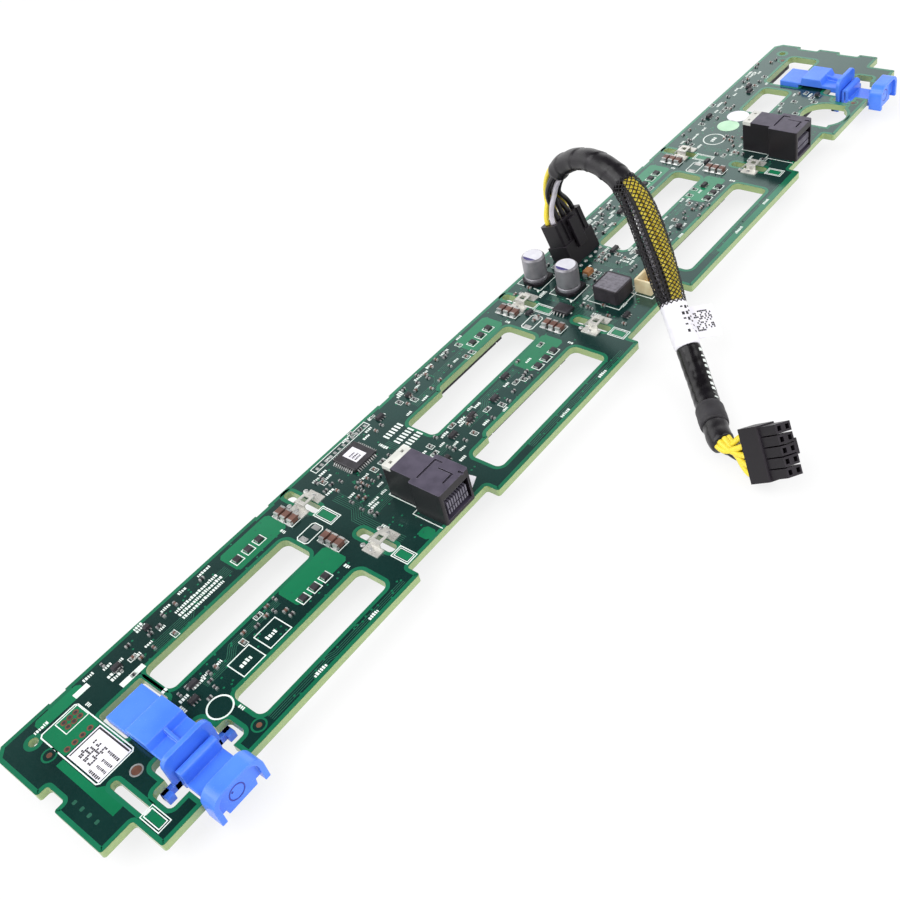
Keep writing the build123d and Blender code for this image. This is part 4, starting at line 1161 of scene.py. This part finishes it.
@dataclass
class PowerCable:
    """The power cable: ten wires from the plug to the far connector, and what wraps them.

    Spans are where a wrap starts and stops along the line, in millimetres from the plug.
    """

    route: tuple = (
        (33.5, 26.18, 23.15), (33.5, 27.62, 27.1), (31.7, 27.4, 33.9), (31.0, 24.0, 41.1),
        (30.5, 18.6, 47.0), (29.8, 12.1, 50.5), (28.8, 5.0, 51.6), (27.4, -1.4, 50.7),
        (25.8, -7.7, 48.1), (23.6, -13.8, 43.8), (17.1, -23.6, 32.1), (8.4, -34.2, 18.3),
        (-1.3, -46.3, 8.0), (-9.5, -54.5, 5.0), (-20.1, -64.1, 5.0), (-23.44, -67.12, 5.0),
        (-25.19, -73.83, 3.77), (-25.6, -78.3, 6.95),
    )
    diameter: float = 8.2
    across: tuple = (0.86, -0.5, 0.0)
    step: float = 0.5
    wire_radius: float = 0.87
    bundle_radius: float = 2.5
    inner_share: float = 0.36
    wire_pitch: float = 2.8
    parting: tuple = (13.0, 11.0)
    first_twist: float = -45.0
    twists: tuple = ((35, 20, 8), (70, 24, 17), (112, 26, -75))
    turns: tuple = (-20, 110, 250, -68, -33, 2, 36, 82, 190, 134)
    yellow_row: tuple = (0, 3, 4, 5, 6)
    dark_row: tuple = (9, 8, 1, 2, 7)
    grey: int = 9
    plug_tilt: float = 20.0
    connector_up: tuple = (-0.90, 0.31, 0.32)
    connector_way: tuple = (-0.08, -0.81, 0.58)
    tape: tuple = (21.0, 56.0)
    tape_pitch: float = 7.5
    tape_radius: float = 3.45
    tape_growth: float = 0.45
    tape_step: float = 0.22
    braid: tuple = (54.5, 97.0)
    braid_pitch: float = 24.0
    strands: int = 16
    label: tuple = (95.5, 111.0)
    flag_span: tuple = (98.0, 109.0)
    flag_middle: tuple = (5.25, 4.45)
    flag_half: tuple = (5.25, 5.05)
    square: float = 0.62
    squares: int = 11
    shrink: tuple = (110.0, 134.5)
    cuff: tuple = (133.0, 141.5)
    tail_tape: tuple = (140.5, 149.0)
    pieces: list = field(default_factory=list)

    def trace(self) -> None:
        """Reads the line of the route's spline and works out its frame at even steps.

        side is the across direction less its share along the line, and up is square to both.
        """
        curve = bpy.data.curves.new("cable_route", "CURVE")
        curve.dimensions = "3D"
        spline = curve.splines.new("NURBS")
        spline.points.add(len(self.route) - 1)
        spline.points.foreach_set("co", [c for x, y, z in self.route for c in (x * MM, y * MM, z * MM, 1.0)])
        spline.order_u = 3
        spline.use_endpoint_u = True
        spline.resolution_u = 16
        holder = bpy.data.objects.new("cable_route", curve)
        bpy.context.scene.collection.objects.link(holder)
        bpy.context.view_layer.update()
        mesh = bpy.data.meshes.new_from_object(holder)
        line = np.empty(len(mesh.vertices) * 3)
        mesh.vertices.foreach_get("co", line)
        bpy.data.objects.remove(holder)
        bpy.data.meshes.remove(mesh)
        line = line.reshape(-1, 3) / MM
        along = np.concatenate([[0], np.cumsum(np.linalg.norm(np.diff(line, axis=0), axis=1))])
        self.length = float(along[-1])
        self.at = np.linspace(0, self.length, int(self.length / self.step) + 1)
        self.line = np.stack([np.interp(self.at, along, line[:, k]) for k in range(3)], -1)
        way = unit(np.gradient(self.line, axis=0))
        self.side = unit(np.array(self.across) - (way @ self.across)[:, None] * way)
        self.up = np.cross(self.side, way)

    def outward(self, turns: np.ndarray, rows: np.ndarray | slice = slice(None)) -> np.ndarray:
        """Directions out of the line at some steps: cos t x side + sin t x up."""
        return np.cos(turns)[..., None] * self.side[rows] + np.sin(turns)[..., None] * self.up[rows]

    def span(self, ends: tuple[float, float]) -> np.ndarray:
        """The numbers of the steps between two places along the line."""
        return np.flatnonzero((self.at >= ends[0]) & (self.at <= ends[1]))

    def sleeve_radius(self) -> np.ndarray:
        """The braid's radius at each step: 4 mm at its ends and 5 mm at its fullest."""
        share = np.clip((self.at - self.braid[0]) / (self.braid[1] - self.braid[0]), 0, 1)
        return 4.0 + 1.0 * np.sin(np.pi * share ** 0.8) ** 0.7

    def twist(self) -> np.ndarray:
        """The bundle's turn at each step: the first, and those eased in over stretches of the line."""
        return np.radians(self.first_twist + sum(turn * ease((self.at - start) / reach)
                                                 for start, reach, turn in self.twists))

    def wire(self, number: int, start: np.ndarray, end: np.ndarray) -> Shape:
        """One wire, whose line is (1 - a - b) x its place in the bundle + a x start + b x end.

        a eases from 1 to 0 over the first stretch and b from 0 to 1 over the last. In the braid
        the bundle spreads out to the sleeve.

        Args:
            number: The wire's number.
            start: Its place in the plug, from the cable's line.
            end: Its place in the connector, from the cable's line.

        Returns:
            The vertices and the faces.
        """
        near = 1 - ease(self.at / self.parting[0])
        far = ease((self.at - self.length + self.parting[1]) / self.parting[1])
        inside = ease((self.at - self.braid[0]) / 8) * ease((self.braid[1] - self.at) / 8)
        room = self.sleeve_radius() - self.wire_radius - 0.45
        spread = self.bundle_radius + inside * (room - self.bundle_radius)
        share = self.inner_share if number < 3 else 1.0
        offset = (spread * share)[:, None] * self.outward(math.radians(self.turns[number]) + self.twist())
        line = (self.line + (1 - near - far)[:, None] * offset + near[:, None] * start
                + far[:, None] * end)
        way = unit(np.gradient(line, axis=0))
        side = unit(self.side - (self.side * way).sum(axis=1, keepdims=True) * way)
        return tube_grid(line, side, np.cross(side, way), self.wire_radius, 10)

    def wires(self) -> None:
        """Makes the ten wires, which part at both ends into two rows of five."""
        tilt = math.radians(self.plug_tilt)
        plug = np.array([(1, 0, 0), (0, math.cos(tilt), -math.sin(tilt))])
        up, way = unit(np.array(self.connector_up)), np.array(self.connector_way)
        connector = np.array([np.cross(up, unit(way - up * (way @ up))), up])
        groups = {"cable_wires": (YELLOW, Slot.YELLOW), "cable_wires_black": (WIRE_BLACK, Slot.SLEEVE),
                  "cable_wire_grey": (WIRE_GREY, Slot.WHITE)}
        gathered = {name: Fragments() for name in groups}
        for row, level in ((self.yellow_row, 0.5), (self.dark_row, -0.5)):
            for column, number in enumerate(row, start=-2):
                name = ("cable_wires" if number in self.yellow_row
                        else "cable_wire_grey" if number == self.grey else "cable_wires_black")
                start = self.wire_pitch * (column * plug[0] + level * plug[1])
                end = self.wire_pitch * (-column * connector[0] + level * connector[1])
                gathered[name].add(self.wire(number, start, end))
        made = {name: gathered[name].piece(name, *groups[name], smooth=True) for name in groups}
        self.core = made.pop("cable_wires")
        self.pieces += list(made)

    def wrapped(self, name: str, ends: tuple, radius: np.ndarray, finish: Finish) -> None:
        """Makes a tube round the wires over part of the line, with softened ends.

        Args:
            name: The piece's name.
            ends: Its span.
            radius: One radius for each step and angle of the span.
            finish: Its finish.
        """
        rows = self.span(ends)
        short = np.minimum(self.at[rows] - ends[0], ends[1] - self.at[rows])
        radius = radius - 0.35 * (1 - ease(short / 1.2))[:, None]
        points, faces = tube_grid(self.line[rows], self.side[rows], self.up[rows], radius,
                                  radius.shape[1])
        add_piece(name, points, faces, finish, smooth=True)
        self.pieces.append(name)

    def tape_wrap(self) -> None:
        """Winds the tape: its radius follows a saw tooth that runs round the bundle as a helix.

        It grows from 30 to 54 mm along, and a low wave makes it uneven.
        """
        at = self.at[self.span(self.tape)][:, None]
        turn = np.linspace(0, 1, 36, endpoint=False)
        phase = (at / self.tape_pitch - turn) % 1.0
        radius = (self.tape_radius + self.tape_growth * ease((at - 30) / 24)
                  + self.tape_step * phase ** 1.5 + 0.07 * np.sin(at * 0.9 + 5 * turn))
        self.wrapped("cable_tape", self.tape, radius, TAPE)

    def braid_sleeve(self) -> None:
        """Weaves the sleeve: two families of strands run round the bundle in opposite turns."""
        rows = self.span(self.braid)
        turns = 2 * np.pi * (self.at[rows] - self.braid[0]) / self.braid_pitch
        gathered = Fragments()
        for hand in (-1, 1):
            for number in range(self.strands):
                out = self.outward(hand * turns + 2 * np.pi * number / self.strands, rows)
                weave = 0.13 * hand * np.sin(self.strands * turns + number * np.pi)
                line = self.line[rows] + (self.sleeve_radius()[rows] + weave)[:, None] * out
                wide = unit(np.cross(out, unit(np.gradient(line, axis=0))))
                gathered.add(tube_grid(line, wide * 0.17, out * 0.11, 1.0, 6))
        gathered.piece("cable_braid", BRAID, Slot.SLEEVE, smooth=True)
        self.pieces.append("cable_braid")

    def band(self, name: str, ends: tuple, finish: Finish, slot: Slot, radius: float,
             ripple: float) -> None:
        """Makes a tube over part of the line, with a slight ripple along and round it.

        Args:
            name: The piece's name.
            ends: Its span.
            finish, slot: Its finish, and a material slot that is not used.
            radius, ripple: Its radius, and how much the ripple adds.
        """
        at = self.at[self.span(ends)][:, None]
        turn = np.linspace(0, 2 * np.pi, 32, endpoint=False)
        waves = np.sin(at * 1.7 + 2 * turn) + np.sin(at * 0.6)
        self.wrapped(name, ends, radius + ripple * waves, finish)

    def patch(self, gathered: Fragments, ends: tuple, turns: tuple, radius: float) -> None:
        """Adds a thin curved sheet on the cable, as a section of two arcs carried along it.

        Args:
            gathered: What it is added to.
            ends: Its span.
            turns, radius: The angles in degrees between which it lies, and the radius it lies on.
        """
        rows = self.span(ends)
        turn = np.radians(np.linspace(*turns, 6))
        out = np.stack([self.outward(np.full(len(rows), t), rows) for t in turn], 1)
        layers = [self.line[rows][:, None] + r * out for r in (radius - 0.1, radius + 0.06)]
        section = np.concatenate([layers[0], layers[1][:, ::-1]], axis=1)
        size = section.shape[1]
        caps = [[start + i for i in range(size)] for start in (0, (len(rows) - 1) * size)]
        gathered.add((section.reshape(-1, 3), joined_rings(len(rows), size) + caps))

    def dashes(self, gathered: Fragments, ends: tuple, widths: tuple, gap: float, turns: tuple,
               radius: float, random: np.random.Generator) -> None:
        """Adds a row of curved dashes of random width along the cable.

        Args:
            gathered: What they are added to.
            ends: Where the first starts, and past which none starts.
            widths, gap: The least and the greatest width, and the gap after each.
            turns, radius: The angles in degrees between which they lie, and the radius they lie on.
            random: The random numbers that widths are drawn from.
        """
        place = ends[0]
        while place < ends[1]:
            width = random.uniform(*widths)
            self.patch(gathered, (place, place + width), turns, radius)
            place += width + gap

    def label_wrap(self) -> None:
        """Wraps the label round the cable, with its flag and generic printed squares."""
        self.band("cable_label", self.label, PAPER, Slot.WHITE, 4.1, 0.03)
        random = np.random.default_rng(5)
        first, last = self.span(self.flag_span)[[0, -1]]
        root = self.line[first] + 3.95 * self.side[first] + 0.6 * self.up[first]
        along = unit(self.line[last] - self.line[first])
        out = self.side[first] * 0.96 + self.up[first] * 0.28
        out = unit(out - along * (out @ along))
        axes = np.array([along, out, np.cross(along, out)])
        flag, marks = Fragments(), Fragments()
        flag.add(block(*self.flag_middle, *self.flag_half, -0.12, 0.12), axes, root)
        for column in range(self.squares):
            for row in range(self.squares):
                if random.random() < 0.45:
                    a, b = 1.85 + column * self.square, 1.65 + row * self.square
                    for heights in ((0.12, 0.17), (-0.17, -0.12)):
                        marks.add(block(a, b, 0.25, 0.25, *heights), axes, root)
        for turn in (-84, -62, -40):
            self.dashes(marks, (self.label[0] + 2.5, self.label[1] - 4), (0.7, 1.6), 0.8,
                        (turn, turn + 12), 4.15, random)
        flag.piece("cable_label_flag", PAPER, Slot.WHITE)
        marks.piece("cable_label_marks", INK, Slot.BLACK)
        self.pieces += ["cable_label_flag", "cable_label_marks"]

    def print_stripe(self) -> None:
        """Prints short white dashes along the shrink tube."""
        stripe = Fragments()
        self.dashes(stripe, (self.shrink[0] + 2.5, self.shrink[1] - 3), (0.8, 1.7), 0.7, (-58, -38),
                    3.87, np.random.default_rng(9))
        stripe.piece("cable_print", SILK, Slot.WHITE)
        self.pieces.append("cable_print")

    def build(self) -> None:
        """Makes the wires and everything wrapped round them."""
        self.trace()
        self.wires()
        self.tape_wrap()
        self.braid_sleeve()
        self.label_wrap()
        self.band("cable_shrink_tube", self.shrink, SHRINK, Slot.SLEEVE, 3.82, 0.04)
        self.band("cable_cuff", self.cuff, CUFF, Slot.SLEEVE, 4.3, 0.03)
        self.band("cable_tail_tape", self.tail_tape, TAPE, Slot.SLEEVE, 3.75, 0.05)
        self.print_stripe()
        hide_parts("cable", "cable_tail")


@dataclass
class Studio:
    """The camera at the photograph's angle, a pale floor and soft light."""

    place: tuple = (-0.218496, -0.184359, 0.223631)
    down: tuple = (-0.6021584, -0.3068315, -0.7370616)
    ahead: tuple = (0.5250293, 0.5433046, -0.6551064)
    lens: float = 43.722
    shift: tuple = (-0.05708, -0.03959)
    floor_reach: float = 4.0
    floor_glow: float = 0.8
    lamps: tuple = (("key", (-0.75, 0.25, 1.0), 1.2, 12.0), ("fill", (0.3, -0.8, 0.7), 0.9, 5.0))
    ambient: float = 0.75
    sky_span: tuple = (0.50, 0.72)
    sky_light: tuple = (1.7, 0.02)
    behind_span: tuple = (0.0, 0.45)
    front_share: tuple = (0.3, 1.0)

    def camera(self) -> None:
        """Makes the camera: its columns are right, minus down and minus ahead.

        Right is down x ahead, so that the three are square to each other.
        """
        data = bpy.data.cameras.new("camera")
        data.sensor_width = 36.0
        data.lens = self.lens
        data.shift_x, data.shift_y = self.shift
        data.clip_start = 0.01
        data.clip_end = 20
        holder = bpy.data.objects.new("camera", data)
        down, ahead = np.array(self.down), np.array(self.ahead)
        placed = Matrix(np.array([np.cross(down, ahead), -down, -ahead]).T.tolist()).to_4x4()
        placed.translation = Vector(self.place)
        holder.matrix_world = placed
        bpy.context.scene.collection.objects.link(holder)
        bpy.context.scene.camera = holder

    def lamp(self, name: str, place: tuple, size: float, power: float) -> None:
        """Makes a square soft lamp that faces the middle of the object.

        Args:
            name: Its name.
            place, size: Its place and its width in metres.
            power: Its power in watts.
        """
        data = bpy.data.lights.new(name, "AREA")
        data.size = size
        data.energy = power
        holder = bpy.data.objects.new(name, data)
        holder.location = place
        holder.rotation_euler = (-Vector(place)).to_track_quat("-Z", "Y").to_euler()
        bpy.context.scene.collection.objects.link(holder)

    def floor(self) -> None:
        """Makes the floor: a wide sheet that looks white and keeps a soft shadow."""
        mesh = bpy.data.meshes.new("floor")
        reach = self.floor_reach
        mesh.from_pydata([(-reach, -reach, 0), (reach, -reach, 0), (reach, reach, 0),
                          (-reach, reach, 0)], [], [(0, 1, 2, 3)])
        piece = bpy.data.objects.new("floor", mesh)
        bpy.context.scene.collection.objects.link(piece)
        material = bpy.data.materials.new("floor_paper")
        material.use_nodes = True
        tree = material.node_tree
        shader = tree.nodes["Principled BSDF"]
        feed(tree, shader, {"Base Color": (0.9, 0.9, 0.9, 1), "Roughness": 0.9, "Specular IOR Level": 0.0})
        rays = add_node(tree, "LightPath").outputs
        seen = add_node(tree, "Math", {0: rays["Is Camera Ray"], 1: rays["Is Glossy Ray"]},
                        operation="MAXIMUM")
        share = add_node(tree, "Math", {0: seen.outputs[0], 1: self.floor_glow}, operation="MULTIPLY")
        glow = add_node(tree, "Emission")
        mix = add_node(tree, "MixShader", {"Fac": share.outputs[0], 1: shader.outputs[0],
                                           2: glow.outputs[0]})
        feed(tree, tree.nodes["Material Output"], {"Surface": mix.outputs[0]})
        mesh.materials.append(material)

    def world(self) -> None:
        """Makes the world: white to the camera, even as light, and in reflections a low bright field.

        The field's strength is a fall with height x a rise towards the back of the object.
        """
        world = bpy.data.worlds.new("studio")
        bpy.context.scene.world = world
        world.use_nodes = True
        tree = world.node_tree
        rays = add_node(tree, "LightPath").outputs
        coords = add_node(tree, "TexCoord").outputs["Generated"]
        split = add_node(tree, "SeparateXYZ", {"Vector": coords}).outputs
        fall, rise = (add_node(tree, "MapRange", {"Value": split[axis], "From Min": span[0],
                                                  "From Max": span[1], "To Min": to[0], "To Max": to[1]})
                      for axis, span, to in (("Z", self.sky_span, self.sky_light),
                                             ("Y", self.behind_span, self.front_share)))
        low_field = add_node(tree, "Math", {0: fall.outputs["Result"], 1: rise.outputs["Result"]},
                             operation="MULTIPLY")
        strength = add_node(tree, "Mix", {"Factor": rays["Is Glossy Ray"], "A": self.ambient,
                                          "B": low_field.outputs[0]})
        light = tree.nodes["Background"]
        feed(tree, light, {"Color": (1, 1, 1, 1), "Strength": strength.outputs["Result"]})
        seen = add_node(tree, "Background", {"Color": (1, 1, 1, 1)})
        mix = add_node(tree, "MixShader", {"Fac": rays["Is Camera Ray"], 1: light.outputs[0],
                                           2: seen.outputs[0]})
        feed(tree, tree.nodes["World Output"], {"Surface": mix.outputs[0]})

    def build(self) -> None:
        """Sets up the whole studio."""
        self.camera()
        self.floor()
        self.world()
        for lamp in self.lamps:
            self.lamp(*lamp)
        bpy.context.scene.view_settings.view_transform = "Standard"


def main() -> None:
    """Builds the studio and every piece."""
    logging.basicConfig(level=logging.INFO, format="%(name)s: %(message)s")
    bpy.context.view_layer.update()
    Studio().build()
    dress_nodes()
    BoardTop().build()
    fittings = Fittings()
    fittings.cans()
    fittings.inductor()
    Latch("latch_left", 33.0).build()
    Latch("latch_right", 384.0).build()
    PowerCable().build()


if __name__ == "__main__":
    main()
